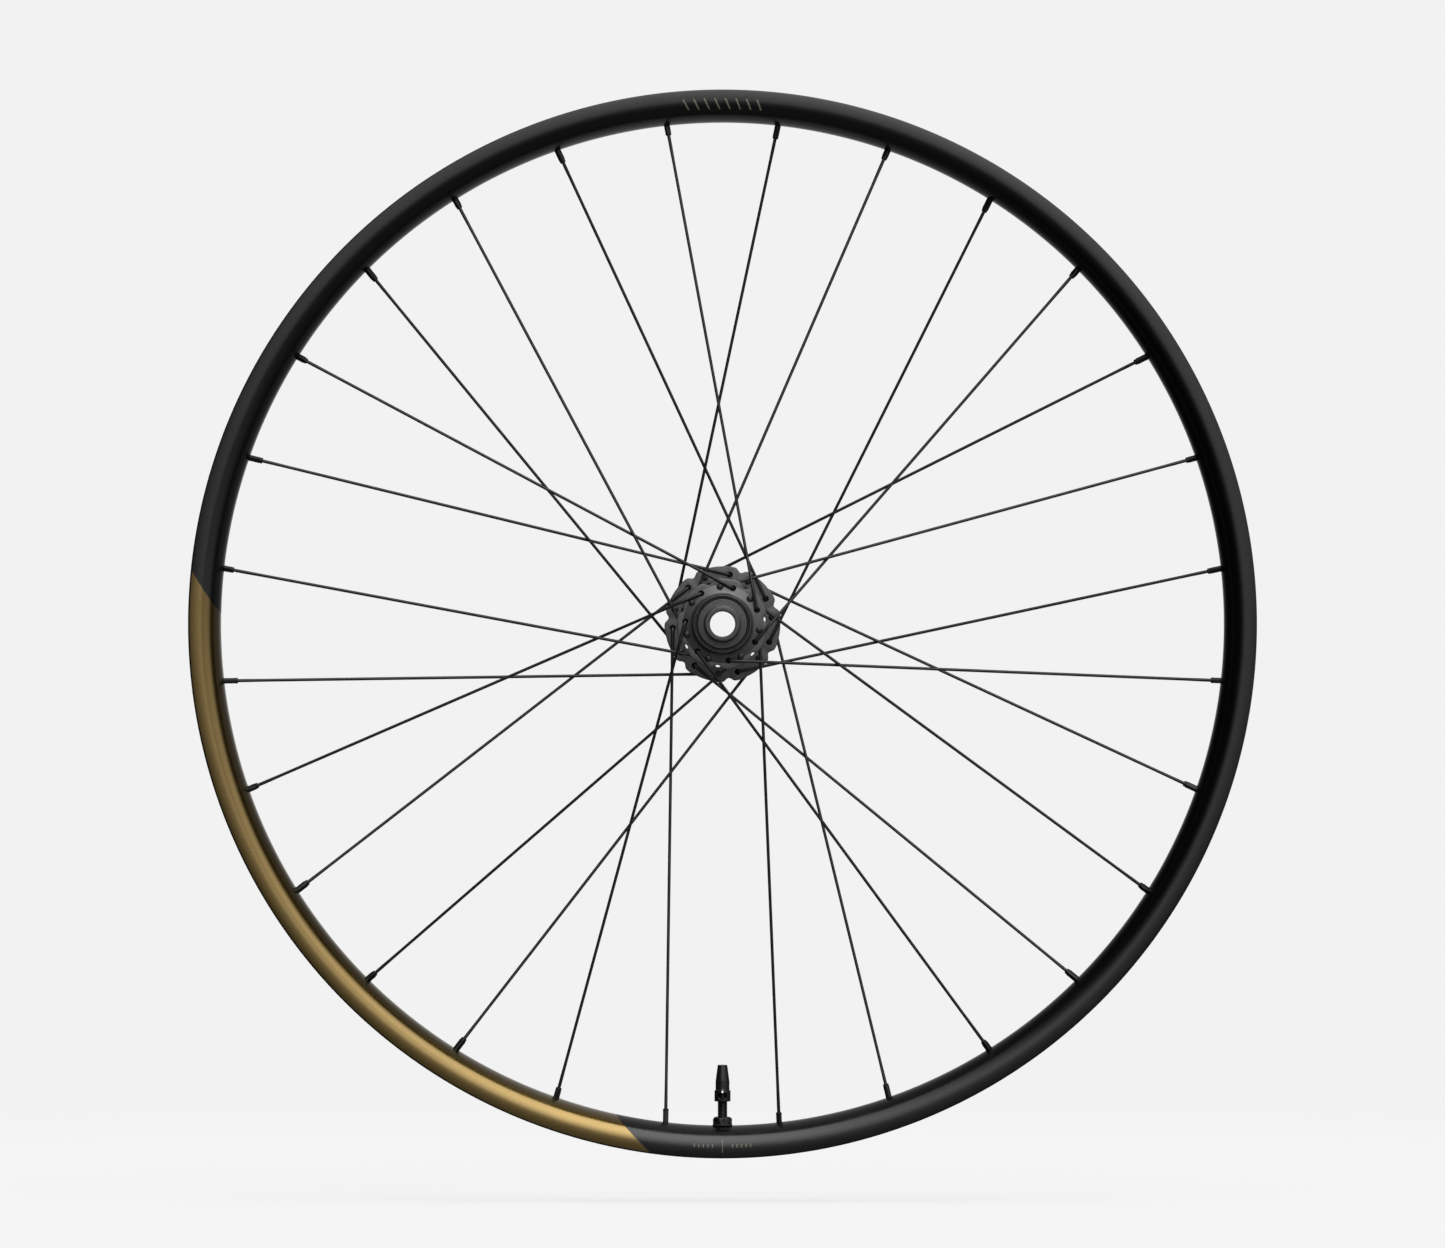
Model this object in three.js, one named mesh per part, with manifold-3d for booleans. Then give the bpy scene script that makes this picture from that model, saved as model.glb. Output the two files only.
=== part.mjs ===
// Spoked bicycle front wheel: a hollow rim, 28 spokes laced three-cross to a hub with scalloped
// flanges, cartridge bearings on a 15 mm through-axle sleeve, and a tubeless valve.
//
// Millimetres. The origin is the wheel's centre and the spin axis is +Y. The right side is -Y,
// the brake side is +Y, and the valve points up from the bottom of the rim (-Z).
// Angles are in degrees in the XZ plane, from +X towards +Z.

import * as THREE from 'three';
import { mergeVertices } from 'three/addons/utils/BufferGeometryUtils.js';
import Module from 'manifold-3d';

const wasm = await Module();
wasm.setup();

// ---------------------------------------------------------------- driving dimensions

const GAP = 0.3; // clearance kept between pieces that touch

// Rim, for a tyre with a 622 mm bead seat
const BEAD_SEAT_R = 311;
const HOOK_HEIGHT = 6.5;
const RIM_DEPTH = 18.6;
const RIM_HALF_WIDTH = 18.5;
const CHANNEL_HALF_WIDTH = 15.5;
const RIM_R = BEAD_SEAT_R + HOOK_HEIGHT;
const SPOKE_BED_R = RIM_R - RIM_DEPTH;
const WELL_DEPTH = 3.5; // from the bead seat down to the centre well
const WELL_R = BEAD_SEAT_R - WELL_DEPTH;
const SPOKE_BED_WALL = 3.3;
const TYRE_BED_WALL = 1.4;
const TAPE_THICKNESS = 0.5;
const RIM_SEGMENTS = 84;

// Lacing
const SPOKES = 28;
const PITCH = 360 / SPOKES; // angle between nipples
const LOBES = 7; // hub lobes on each flange, two spoke holes in each
const LOBE_PITCH = 360 / LOBES;
const NIPPLE_LEAD = 5 * PITCH; // from a lobe's centre to the nipple of either of its spokes
const LOBES_TO_LAST_CROSSING = 2;
const SPOKE_END_R = 1.0;
const SPOKE_MID_R = 0.9;
const SPOKE_SIDES = 5;
const CROSSING_OFFSET = 1.05; // each spoke stands this far from the plane of the last crossing
const HEAD_R = 2.05;
const HEAD_THICKNESS = 1.2;
const ELBOW_R = 2.2;
const ELBOW_LIFT = 0.5; // gap between a spoke and the flange face it runs along
const NIPPLE_SEAT_R = 303;
const NIPPLE_R = 1.75;
const NIPPLE_HEAD_R = 2.8;
const NIPPLE_HEAD_HEIGHT = 2.3;
const NIPPLE_HOLE_R = 2.35;
const NIPPLE_HOLE_DEPTH = 7;

// Hub
const FLANGE_HALF_THICKNESS = 1.6;
const SPOKE_HOLE_R = 1.45;
const RIGHT_FLANGE = {
  y: -37,
  outward: -1,
  holeCircleR: 22,
  lobeR: 26.8,
  notchR: 24.5,
  firstLobe: 2.5 * PITCH,
  holeSpread: 10.2, // half the angle between the two holes of a lobe
  anticlockwiseRunsOutside: true,
  nippleShank: 10.3,
};
const LEFT_FLANGE = {
  y: 27,
  outward: 1,
  holeCircleR: 29.9,
  lobeR: 34.6,
  notchR: 32.5,
  firstLobe: 3.5 * PITCH,
  holeSpread: 14.7,
  anticlockwiseRunsOutside: false,
  nippleShank: 12.4,
};
const WINDOW_CIRCLE_R = 23.6; // the left flange has a round lightening hole by each lobe
const WINDOW_R = 2.3;
const WINDOW_OFFSET = -3 * PITCH; // from a left lobe's centre
const HUB_SEGMENTS = 20;
const END_FACE_Y = 55; // half of the 110 mm over the end faces
const BORE_R = 7.55; // for a 15 mm through-axle
const AXLE_R = 8.5;
const AXLE_HALF_LENGTH = 49.7;
const NOSE_R = 10.2;
const NOSE_GROOVE_DEPTH = 0.8;
const SKIRT_R = 14.9;
const SKIRT_THICKNESS = 1.3;
const CAP_STEP_R = 10.6; // the end cap's boss, which bears on the inner ring
const CAP_STEP = 0.7;
const CAP_NECK = 5.6; // from the bearing's face to the neck of the end cap
const ORING_THICKNESS = 1.2;
const ORING_GROOVE_WIDTH = 1.8;
const ORING_GROOVE_AT = 3.2; // from the bearing's face
const ORING_GROOVE_R = 10.3;
const SHELL_LIP_R = 17.4;
const SHELL_CORE_R = 10.8;
const BARREL_R = 14;
const LEFT_SHOULDER_R = 18.4;
const LEFT_FLANGE_ROOT_R = 20.5;

// Six-bolt disc rotor seat on the left
const ROTOR_SEAT_Y = 44.5;
const ROTOR_ARMS = 6;
const ROTOR_BOLT_CIRCLE_R = 22;
const ROTOR_ARM_R = 26.5;
const ROTOR_ARM_HALF_WIDTH = 6.1;
const ROTOR_ARM_THICKNESS = 5;
const ROTOR_BOLT_R = 2.1;
const ROTOR_FIRST_ARM = 49.3;

// Cartridge bearings, 17 x 30 x 7 mm
const BEARING_R = 15;
const BEARING_BORE_R = 8.5;
const BEARING_WIDTH = 7;
const BALL_R = 1.98;
const BALL_CIRCLE_R = 11.75;
const BALLS = 10;
const INNER_LAND_R = 10.4;
const OUTER_LAND_R = 13.1;
const GROOVE_HALF_WIDTH = 1.6;
const BALL_GAP = 0.2;
const SEAL_THICKNESS = 0.6;
const SEAL_INSET = 0.3;
const CAGE_HALF_THICKNESS = 0.6;
const CAGE_HALF_WIDTH = 1.5;
const RIGHT_END = { sign: -1, bearingFace: 41.3, shellEnd: 44, mouthR: 16.8 };
const LEFT_END = { sign: 1, bearingFace: 43.6, shellEnd: 46.5, mouthR: 16.2 };

// Valve, as distances from the wheel's centre
const VALVE_HOLE_R = 3.3;
const VALVE_ANGLE = 270;
const STEM_R = 2.65;
const STEM_BORE_R = 1.7;
const STEM_TOP = 275.5;
const STEM_BASE = 312.9;
const STEM_FLANGE_R = 4.2;
const CAP_TOP = 262.6;
const CAP_CONE_END = 272.4;
const CAP_COLLAR_TOP = 277.5;
const CAP_BOTTOM = 284.3;
const CAP_TOP_R = 2.5;
const CAP_CONE_R = 3.85;
const CAP_WAIST_R = 3.92;
const CAP_COLLAR_R = 4.53;
const CAP_WINDOW_WIDTH = 3.6;
const CAP_WINDOW_HEIGHT = 4.2;
const CORE_TOP = 273.2;
const CORE_BOTTOM = 291;
const CORE_R = 1.4;
const CORE_HEAD_R = 2.1;
const CORE_BORE_R = 0.85;
const CORE_NUT_R = 1.6;
const CORE_NUT_HEIGHT = 2;
const PIN_TOP = 266.4;
const PIN_R = 0.55;
const PIN_PLUG_R = 1.2;
const PIN_PLUG_HEIGHT = 1.6;
const NUT_TOP = 293.9;
const NUT_R = 5.5;
const NUT_DOME = 1;
const WASHER_R = 5.9;
const WASHER_THICKNESS = 0.8;
const GROMMET_R = 5;
const GROMMET_BASE_R = 4.4;
const GROMMET_HEIGHT = 2.6;
const VALVE_SEGMENTS = 12;
const WASHER_BOTTOM = SPOKE_BED_R - GAP;
const WASHER_TOP = WASHER_BOTTOM - WASHER_THICKNESS;
const GROMMET_TOP = WELL_R + 2 * GAP + TAPE_THICKNESS;
const GROMMET_BOTTOM = GROMMET_TOP + GROMMET_HEIGHT;
const STEM_FLANGE_FROM = GROMMET_BOTTOM + GAP;

// ---------------------------------------------------------------- materials

function material(color, roughness, metalness) {
  return new THREE.MeshStandardMaterial({ color, roughness, metalness });
}

const CARBON = material(0x17181a, 0.45, 0.1);
const TAPE = material(0x2a2a2c, 0.6, 0);
const ANODISED = material(0x2b2c2e, 0.4, 0.8);
const SPOKE_STEEL = material(0x121212, 0.35, 0.7);
const BEARING_STEEL = material(0xa8aaad, 0.25, 1);
const BLACK_RUBBER = material(0x151515, 0.8, 0);
const VALVE_METAL = material(0x141416, 0.35, 0.8);
const BRASS = material(0xb08d4a, 0.35, 1);

// ---------------------------------------------------------------- helpers

const AXLE_DIRECTION = new THREE.Vector3(0, 1, 0);
const radians = THREE.MathUtils.degToRad;

function onCircle(radius, angle, y = 0) {
  return new THREE.Vector3(radius * Math.cos(radians(angle)), y, radius * Math.sin(radians(angle)));
}

function toSolid(geometry) {
  const bare = geometry.clone();
  bare.deleteAttribute('normal');
  bare.deleteAttribute('uv');
  const merged = mergeVertices(bare, 1e-4);
  return new wasm.Manifold(
    new wasm.Mesh({
      numProp: 3,
      vertProperties: new Float32Array(merged.attributes.position.array),
      triVerts: new Uint32Array(merged.index.array),
    }),
  );
}

function toGeometry(solid) {
  const mesh = solid.getMesh();
  const geometry = new THREE.BufferGeometry();
  geometry.setAttribute('position', new THREE.BufferAttribute(mesh.vertProperties, 3));
  geometry.setIndex(new THREE.BufferAttribute(mesh.triVerts, 1));
  geometry.computeVertexNormals();
  return geometry;
}

// A ring about the Y axis. The section is a closed list of [radius, y], anticlockwise with the
// radius to the right and y up.
function ring(section, segments) {
  const points = section.map(([radius, y]) => new THREE.Vector2(radius, y));
  points.push(points[0].clone());
  return new THREE.LatheGeometry(points, segments);
}

// A solid of revolution about the Y axis, from a profile that starts and ends on the axis.
function turnedSolid(profile, segments) {
  return new THREE.LatheGeometry(profile.map(([radius, y]) => new THREE.Vector2(radius, y)), segments);
}

// The same section seen from the other side of the wheel.
const mirrored = (section) => section.map(([radius, y]) => [radius, -y]).reverse();
const onSide = (section, sign) => (sign > 0 ? section : mirrored(section));

// A plate from an outline of [x, z] points, between two planes of constant y.
function plate(outline, yLow, yHigh) {
  const shape = new THREE.Shape(outline.map(([x, z]) => new THREE.Vector2(x, z)));
  const geometry = new THREE.ExtrudeGeometry(shape, { depth: yHigh - yLow, bevelEnabled: false });
  return geometry.rotateX(Math.PI / 2).translate(0, yHigh, 0);
}

// A cylinder between two points.
function peg(from, to, radius, sides) {
  const along = new THREE.Vector3().subVectors(to, from);
  const geometry = new THREE.CylinderGeometry(radius, radius, along.length(), sides);
  const turn = new THREE.Quaternion().setFromUnitVectors(AXLE_DIRECTION, along.clone().normalize());
  const middle = new THREE.Vector3().addVectors(from, to).multiplyScalar(0.5);
  return geometry.applyQuaternion(turn).translate(middle.x, middle.y, middle.z);
}

// A closed rod of changing radius along a bent centre line, from stations of { at, radius }.
function rod(stations, sides) {
  const positions = [];
  const indices = [];
  const last = stations.length - 1;
  const normal = new THREE.Vector3(0.3, 0.2, 0.9);
  stations.forEach(({ at, radius }, i) => {
    const before = stations[Math.max(i - 1, 0)].at;
    const after = stations[Math.min(i + 1, last)].at;
    const arriving = new THREE.Vector3().subVectors(at, before).normalize();
    const leaving = new THREE.Vector3().subVectors(after, at).normalize();
    const tangent = arriving.add(leaving).normalize();
    normal.addScaledVector(tangent, -normal.dot(tangent)).normalize();
    const binormal = new THREE.Vector3().crossVectors(tangent, normal);
    for (let side = 0; side < sides; side += 1) {
      const turn = (2 * Math.PI * side) / sides;
      const point = at.clone();
      point.addScaledVector(normal, radius * Math.cos(turn));
      point.addScaledVector(binormal, radius * Math.sin(turn));
      positions.push(point.x, point.y, point.z);
    }
  });
  for (let i = 0; i < last; i += 1) {
    for (let side = 0; side < sides; side += 1) {
      const next = (side + 1) % sides;
      const [a, b] = [i * sides + side, i * sides + next];
      indices.push(a, b, a + sides, b, b + sides, a + sides);
    }
  }
  for (let side = 1; side < sides - 1; side += 1) {
    indices.push(0, side + 1, side);
    indices.push(last * sides, last * sides + side, last * sides + side + 1);
  }
  const geometry = new THREE.BufferGeometry();
  geometry.setAttribute('position', new THREE.Float32BufferAttribute(positions, 3));
  geometry.setIndex(indices);
  geometry.computeVertexNormals();
  return geometry;
}

const wheel = new THREE.Group();

function add(name, geometry, finish) {
  const mesh = new THREE.Mesh(geometry, finish.clone());
  mesh.name = name;
  wheel.add(mesh);
}

// ---------------------------------------------------------------- spokes

// Everything about one spoke's line: a flange, a lobe, and the way it turns (1 is anticlockwise).
function spokeLine(flange, lobe, turn) {
  const lobeAngle = flange.firstLobe + lobe * LOBE_PITCH;
  const hole = onCircle(flange.holeCircleR, lobeAngle - turn * flange.holeSpread);
  const nippleAngle = lobeAngle + turn * NIPPLE_LEAD;
  const seat = onCircle(NIPPLE_SEAT_R, nippleAngle);
  const along = new THREE.Vector3().subVectors(seat, hole);
  const length = along.length();
  along.normalize();

  // The line's nearest point to the axle, and from there the distance to the last crossing.
  const footAt = -hole.dot(along);
  const foot = hole.clone().addScaledVector(along, footAt);
  const footAngle = THREE.MathUtils.radToDeg(Math.atan2(foot.z, foot.x));
  const lead = THREE.MathUtils.euclideanModulo(turn * (lobeAngle - footAngle), 360);
  const halfAngle = (LOBES_TO_LAST_CROSSING * LOBE_PITCH) / 2 + lead;
  const crossingAt = footAt + foot.length() * Math.tan(radians(halfAngle));
  const edgeAt = footAt + Math.sqrt(flange.lobeR ** 2 - foot.length() ** 2) + 1;

  const outside = (turn > 0) === flange.anticlockwiseRunsOutside;
  const runSide = outside ? flange.outward : -flange.outward;
  const crossingY = flange.y * (1 - crossingAt / length) - runSide * CROSSING_OFFSET;
  const crossing = hole.clone().addScaledVector(along, crossingAt).setY(crossingY);
  const nippleAxis = new THREE.Vector3().subVectors(seat, crossing).normalize();
  return { flange, hole, seat, along, nippleAngle, crossing, nippleAxis, edgeAt, outside, runSide };
}

// A spoke's head, elbow and shank, with its nipple on the end.
function spokeStations(line) {
  const { flange, hole, seat, along, crossing, nippleAxis, edgeAt, outside, runSide } = line;
  const place = (distance, y) => hole.clone().addScaledVector(along, distance).setY(y);
  const fromFlange = (distance) => flange.y + runSide * distance;
  const runY = FLANGE_HALF_THICKNESS + ELBOW_LIFT + SPOKE_END_R;
  const headY = -(FLANGE_HALF_THICKNESS + GAP);
  const stations = [
    { at: place(0, fromFlange(headY - HEAD_THICKNESS)), radius: HEAD_R * 0.75 },
    { at: place(0, fromFlange(headY - HEAD_THICKNESS / 2)), radius: HEAD_R },
    { at: place(0, fromFlange(headY)), radius: SPOKE_END_R },
  ];
  for (const bend of [0, 30, 60, 90]) {
    const sideways = ELBOW_R * (1 - Math.cos(radians(bend)));
    const lift = runY - ELBOW_R * (1 - Math.sin(radians(bend)));
    stations.push({ at: place(sideways, fromFlange(lift)), radius: SPOKE_END_R });
  }
  if (outside) {
    stations.push({ at: place(edgeAt, fromFlange(runY)), radius: SPOKE_END_R });
  }
  stations.push({ at: crossing, radius: SPOKE_MID_R });

  const atSeat = (distance) => seat.clone().addScaledVector(nippleAxis, distance);
  const nipple = (distance, radius) => ({ at: atSeat(distance), radius });
  stations.push(nipple(-flange.nippleShank - 0.1, SPOKE_MID_R));
  stations.push(nipple(-flange.nippleShank, NIPPLE_R));
  stations.push(nipple(-0.1, NIPPLE_R));
  stations.push(nipple(0, NIPPLE_HEAD_R));
  stations.push(nipple(NIPPLE_HEAD_HEIGHT, NIPPLE_HEAD_R * 0.8));
  return stations;
}

const spokeLines = [];
for (const flange of [RIGHT_FLANGE, LEFT_FLANGE]) {
  for (let lobe = 0; lobe < LOBES; lobe += 1) {
    spokeLines.push(spokeLine(flange, lobe, 1), spokeLine(flange, lobe, -1));
  }
}

// Spokes are numbered from the valve, anticlockwise as seen from the right side.
const fromValve = (angle) => THREE.MathUtils.euclideanModulo(angle - VALVE_ANGLE, 360);
spokeLines.sort((a, b) => fromValve(a.nippleAngle) - fromValve(b.nippleAngle));
spokeLines.forEach((line, i) => {
  const number = String(i + 1).padStart(2, '0');
  add(`spoke_${number}`, rod(spokeStations(line), SPOKE_SIDES), SPOKE_STEEL);
});

// ---------------------------------------------------------------- rim and tape

// Half of the rim's outline, from the spoke bed round the side wall to the middle of the well.
const rimOutlineHalf = [
  [SPOKE_BED_R, 5],
  [SPOKE_BED_R + 2.4, 12],
  [SPOKE_BED_R + 7.4, 16.9],
  [RIM_R - 1.2, RIM_HALF_WIDTH],
  [RIM_R, RIM_HALF_WIDTH - 1],
  [RIM_R, CHANNEL_HALF_WIDTH],
  [BEAD_SEAT_R, CHANNEL_HALF_WIDTH],
  [BEAD_SEAT_R, 9.5],
  [WELL_R, 6],
];
const rimCavityHalf = [
  [SPOKE_BED_R + SPOKE_BED_WALL, 7.5],
  [BEAD_SEAT_R - 2.2, 14],
  [BEAD_SEAT_R - 2, 10.2],
  [WELL_R - TYRE_BED_WALL, 6.6],
];

// A section that is the same on both sides of the wheel, from its half with y above zero.
function bothSides(half) {
  return [...half.map(([radius, y]) => [radius, -y]), ...[...half].reverse()];
}

// The hole that the valve passes through, from the spoke bed to beyond the tyre's well.
function valveHole() {
  const from = onCircle(SPOKE_BED_R - RIM_DEPTH, VALVE_ANGLE);
  return toSolid(peg(from, onCircle(RIM_R, VALVE_ANGLE), VALVE_HOLE_R, VALVE_SEGMENTS));
}

function rimGeometry() {
  let rim = toSolid(ring(bothSides(rimOutlineHalf), RIM_SEGMENTS));
  rim = rim.subtract(toSolid(ring(bothSides(rimCavityHalf), RIM_SEGMENTS)));
  for (const { seat, nippleAxis } of spokeLines) {
    const from = seat.clone().addScaledVector(nippleAxis, -NIPPLE_HOLE_DEPTH);
    rim = rim.subtract(toSolid(peg(from, seat, NIPPLE_HOLE_R, 6)));
  }
  return toGeometry(rim.subtract(valveHole()));
}

function tapeGeometry() {
  const low = GAP;
  const high = GAP + TAPE_THICKNESS;
  const section = bothSides([
    [WELL_R + low, 5.4],
    [BEAD_SEAT_R + low, 9.2],
    [BEAD_SEAT_R + low, 15],
    [BEAD_SEAT_R + high, 15],
    [BEAD_SEAT_R + high, 8.8],
    [WELL_R + high, 5],
  ]);
  return toGeometry(toSolid(ring(section, RIM_SEGMENTS)).subtract(valveHole()));
}

add('rim', rimGeometry(), CARBON);
add('rim_tape', tapeGeometry(), TAPE);

// ---------------------------------------------------------------- hub shell

// A flange's outline: seven lobes with a notch between each two.
function flangeOutline({ lobeR, notchR, firstLobe }) {
  const outline = [];
  for (let lobe = 0; lobe < LOBES; lobe += 1) {
    const centre = firstLobe + lobe * LOBE_PITCH;
    for (const offset of [-20, -10, 0, 10, 20]) {
      const { x, z } = onCircle(lobeR, centre + offset);
      outline.push([x, z]);
    }
    const { x, z } = onCircle(notchR, centre + LOBE_PITCH / 2);
    outline.push([x, z]);
  }
  return outline;
}

// The six arms that carry the disc rotor, as one star-shaped outline.
function rotorStarOutline() {
  const outline = [];
  const rootR = SHELL_LIP_R + 1;
  for (let arm = 0; arm < ROTOR_ARMS; arm += 1) {
    const centre = ROTOR_FIRST_ARM + (arm * 360) / ROTOR_ARMS;
    const spread = (radius, width) => THREE.MathUtils.radToDeg(Math.asin(width / radius));
    const corners = [
      [rootR, -spread(rootR, ROTOR_ARM_HALF_WIDTH)],
      [ROTOR_ARM_R - 1.5, -spread(ROTOR_ARM_R - 1.5, ROTOR_ARM_HALF_WIDTH)],
      [ROTOR_ARM_R, -spread(ROTOR_ARM_R, ROTOR_ARM_HALF_WIDTH / 2)],
    ];
    const mirroredCorners = [...corners].reverse().map(([radius, angle]) => [radius, -angle]);
    for (const [radius, angle] of [...corners, ...mirroredCorners]) {
      const { x, z } = onCircle(radius, centre + angle);
      outline.push([x, z]);
    }
  }
  return outline;
}

// The bearing's seat and the mouth in front of it, cut into one end of the shell.
function bearingSeat({ sign, bearingFace, shellEnd, mouthR }) {
  const seatBack = bearingFace - BEARING_WIDTH - GAP;
  const profile = [
    [0, seatBack],
    [BEARING_R + 0.1, seatBack],
    [BEARING_R + 0.1, bearingFace],
    [mouthR, bearingFace + GAP],
    [mouthR, shellEnd + 1],
    [0, shellEnd + 1],
  ];
  return turnedSolid(onSide(profile, sign), HUB_SEGMENTS);
}

function hubGeometry() {
  const barrel = [
    [0, -RIGHT_END.shellEnd],
    [SHELL_LIP_R, -RIGHT_END.shellEnd],
    [SHELL_LIP_R + 0.4, RIGHT_FLANGE.y],
    [SHELL_LIP_R, RIGHT_FLANGE.y + 3.4],
    [BARREL_R, RIGHT_FLANGE.y + 14],
    [BARREL_R, LEFT_FLANGE.y - 18],
    [LEFT_FLANGE_ROOT_R, LEFT_FLANGE.y - 3],
    [LEFT_FLANGE_ROOT_R, LEFT_FLANGE.y + 4],
    [LEFT_SHOULDER_R, ROTOR_SEAT_Y - ROTOR_ARM_THICKNESS],
    [LEFT_SHOULDER_R, ROTOR_SEAT_Y],
    [SHELL_LIP_R, ROTOR_SEAT_Y],
    [SHELL_LIP_R, LEFT_END.shellEnd],
    [0, LEFT_END.shellEnd],
  ];
  let shell = toSolid(turnedSolid(barrel, HUB_SEGMENTS));
  for (const flange of [RIGHT_FLANGE, LEFT_FLANGE]) {
    const low = flange.y - FLANGE_HALF_THICKNESS;
    const high = flange.y + FLANGE_HALF_THICKNESS;
    shell = shell.add(toSolid(plate(flangeOutline(flange), low, high)));
  }
  const armsFrom = ROTOR_SEAT_Y - ROTOR_ARM_THICKNESS;
  shell = shell.add(toSolid(plate(rotorStarOutline(), armsFrom, ROTOR_SEAT_Y)));

  for (const { flange, hole } of spokeLines) {
    const from = hole.clone().setY(flange.y - 2 * FLANGE_HALF_THICKNESS);
    const to = hole.clone().setY(flange.y + 2 * FLANGE_HALF_THICKNESS);
    shell = shell.subtract(toSolid(peg(from, to, SPOKE_HOLE_R, 6)));
  }
  for (let lobe = 0; lobe < LOBES; lobe += 1) {
    const angle = LEFT_FLANGE.firstLobe + WINDOW_OFFSET + lobe * LOBE_PITCH;
    const from = onCircle(WINDOW_CIRCLE_R, angle, LEFT_FLANGE.y - 2 * FLANGE_HALF_THICKNESS);
    const to = onCircle(WINDOW_CIRCLE_R, angle, LEFT_FLANGE.y + 2 * FLANGE_HALF_THICKNESS);
    shell = shell.subtract(toSolid(peg(from, to, WINDOW_R, 10)));
  }
  for (let arm = 0; arm < ROTOR_ARMS; arm += 1) {
    const angle = ROTOR_FIRST_ARM + (arm * 360) / ROTOR_ARMS;
    const from = onCircle(ROTOR_BOLT_CIRCLE_R, angle, armsFrom - 1);
    const to = onCircle(ROTOR_BOLT_CIRCLE_R, angle, ROTOR_SEAT_Y + 1);
    shell = shell.subtract(toSolid(peg(from, to, ROTOR_BOLT_R, 8)));
  }
  for (const end of [RIGHT_END, LEFT_END]) {
    shell = shell.subtract(toSolid(bearingSeat(end)));
  }
  const core = peg(onCircle(0, 0, -END_FACE_Y), onCircle(0, 0, END_FACE_Y), SHELL_CORE_R, HUB_SEGMENTS);
  return toGeometry(shell.subtract(toSolid(core)));
}

add('hub_shell', hubGeometry(), ANODISED);

// ---------------------------------------------------------------- axle, end caps and bearings

const axleSection = [
  [BORE_R, -AXLE_HALF_LENGTH],
  [AXLE_R, -AXLE_HALF_LENGTH],
  [AXLE_R, AXLE_HALF_LENGTH],
  [BORE_R, AXLE_HALF_LENGTH],
];
add('axle_sleeve', ring(axleSection, HUB_SEGMENTS), ANODISED);

// An end cap: a nose that the fork holds, a skirt that covers the bearing, and a groove inside for
// the O-ring.
function endCapSection({ sign, bearingFace }) {
  const boreR = AXLE_R + GAP;
  const skirtFrom = bearingFace + CAP_STEP;
  const skirtTo = skirtFrom + SKIRT_THICKNESS;
  const neck = bearingFace + CAP_NECK;
  const grooveMiddle = bearingFace + ORING_GROOVE_AT;
  return onSide(
    [
      [boreR, bearingFace + GAP],
      [CAP_STEP_R, bearingFace + GAP],
      [CAP_STEP_R, skirtFrom],
      [SKIRT_R, skirtFrom],
      [SKIRT_R, skirtTo],
      [NOSE_R + CAP_STEP, neck],
      [NOSE_R - NOSE_GROOVE_DEPTH, neck],
      [NOSE_R, neck + NOSE_GROOVE_DEPTH],
      [NOSE_R, END_FACE_Y],
      [BORE_R, END_FACE_Y],
      [BORE_R, AXLE_HALF_LENGTH + GAP],
      [boreR, AXLE_HALF_LENGTH + GAP],
      [boreR, grooveMiddle + ORING_GROOVE_WIDTH / 2],
      [ORING_GROOVE_R, grooveMiddle + ORING_GROOVE_WIDTH / 2],
      [ORING_GROOVE_R, grooveMiddle - ORING_GROOVE_WIDTH / 2],
      [boreR, grooveMiddle - ORING_GROOVE_WIDTH / 2],
    ],
    sign,
  );
}

// The O-ring lies in the end cap's groove and grips the sleeve.
function oRingSection({ sign, bearingFace }) {
  const low = bearingFace + ORING_GROOVE_AT - ORING_THICKNESS / 2;
  return onSide(
    [
      [AXLE_R + GAP, low],
      [AXLE_R + GAP + ORING_THICKNESS, low],
      [AXLE_R + GAP + ORING_THICKNESS, low + ORING_THICKNESS],
      [AXLE_R + GAP, low + ORING_THICKNESS],
    ],
    sign,
  );
}

function innerRingSection({ sign, bearingFace }) {
  const back = bearingFace - BEARING_WIDTH;
  const middle = bearingFace - BEARING_WIDTH / 2;
  return onSide(
    [
      [BEARING_BORE_R + GAP, back],
      [INNER_LAND_R, back],
      [INNER_LAND_R, middle - GROOVE_HALF_WIDTH],
      [BALL_CIRCLE_R - BALL_R - BALL_GAP, middle],
      [INNER_LAND_R, middle + GROOVE_HALF_WIDTH],
      [INNER_LAND_R, bearingFace],
      [BEARING_BORE_R + GAP, bearingFace],
    ],
    sign,
  );
}

function outerRingSection({ sign, bearingFace }) {
  const back = bearingFace - BEARING_WIDTH;
  const middle = bearingFace - BEARING_WIDTH / 2;
  return onSide(
    [
      [OUTER_LAND_R, back],
      [BEARING_R - BALL_GAP, back],
      [BEARING_R - BALL_GAP, bearingFace],
      [OUTER_LAND_R, bearingFace],
      [OUTER_LAND_R, middle + GROOVE_HALF_WIDTH],
      [BALL_CIRCLE_R + BALL_R + BALL_GAP, middle],
      [OUTER_LAND_R, middle - GROOVE_HALF_WIDTH],
    ],
    sign,
  );
}

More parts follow.
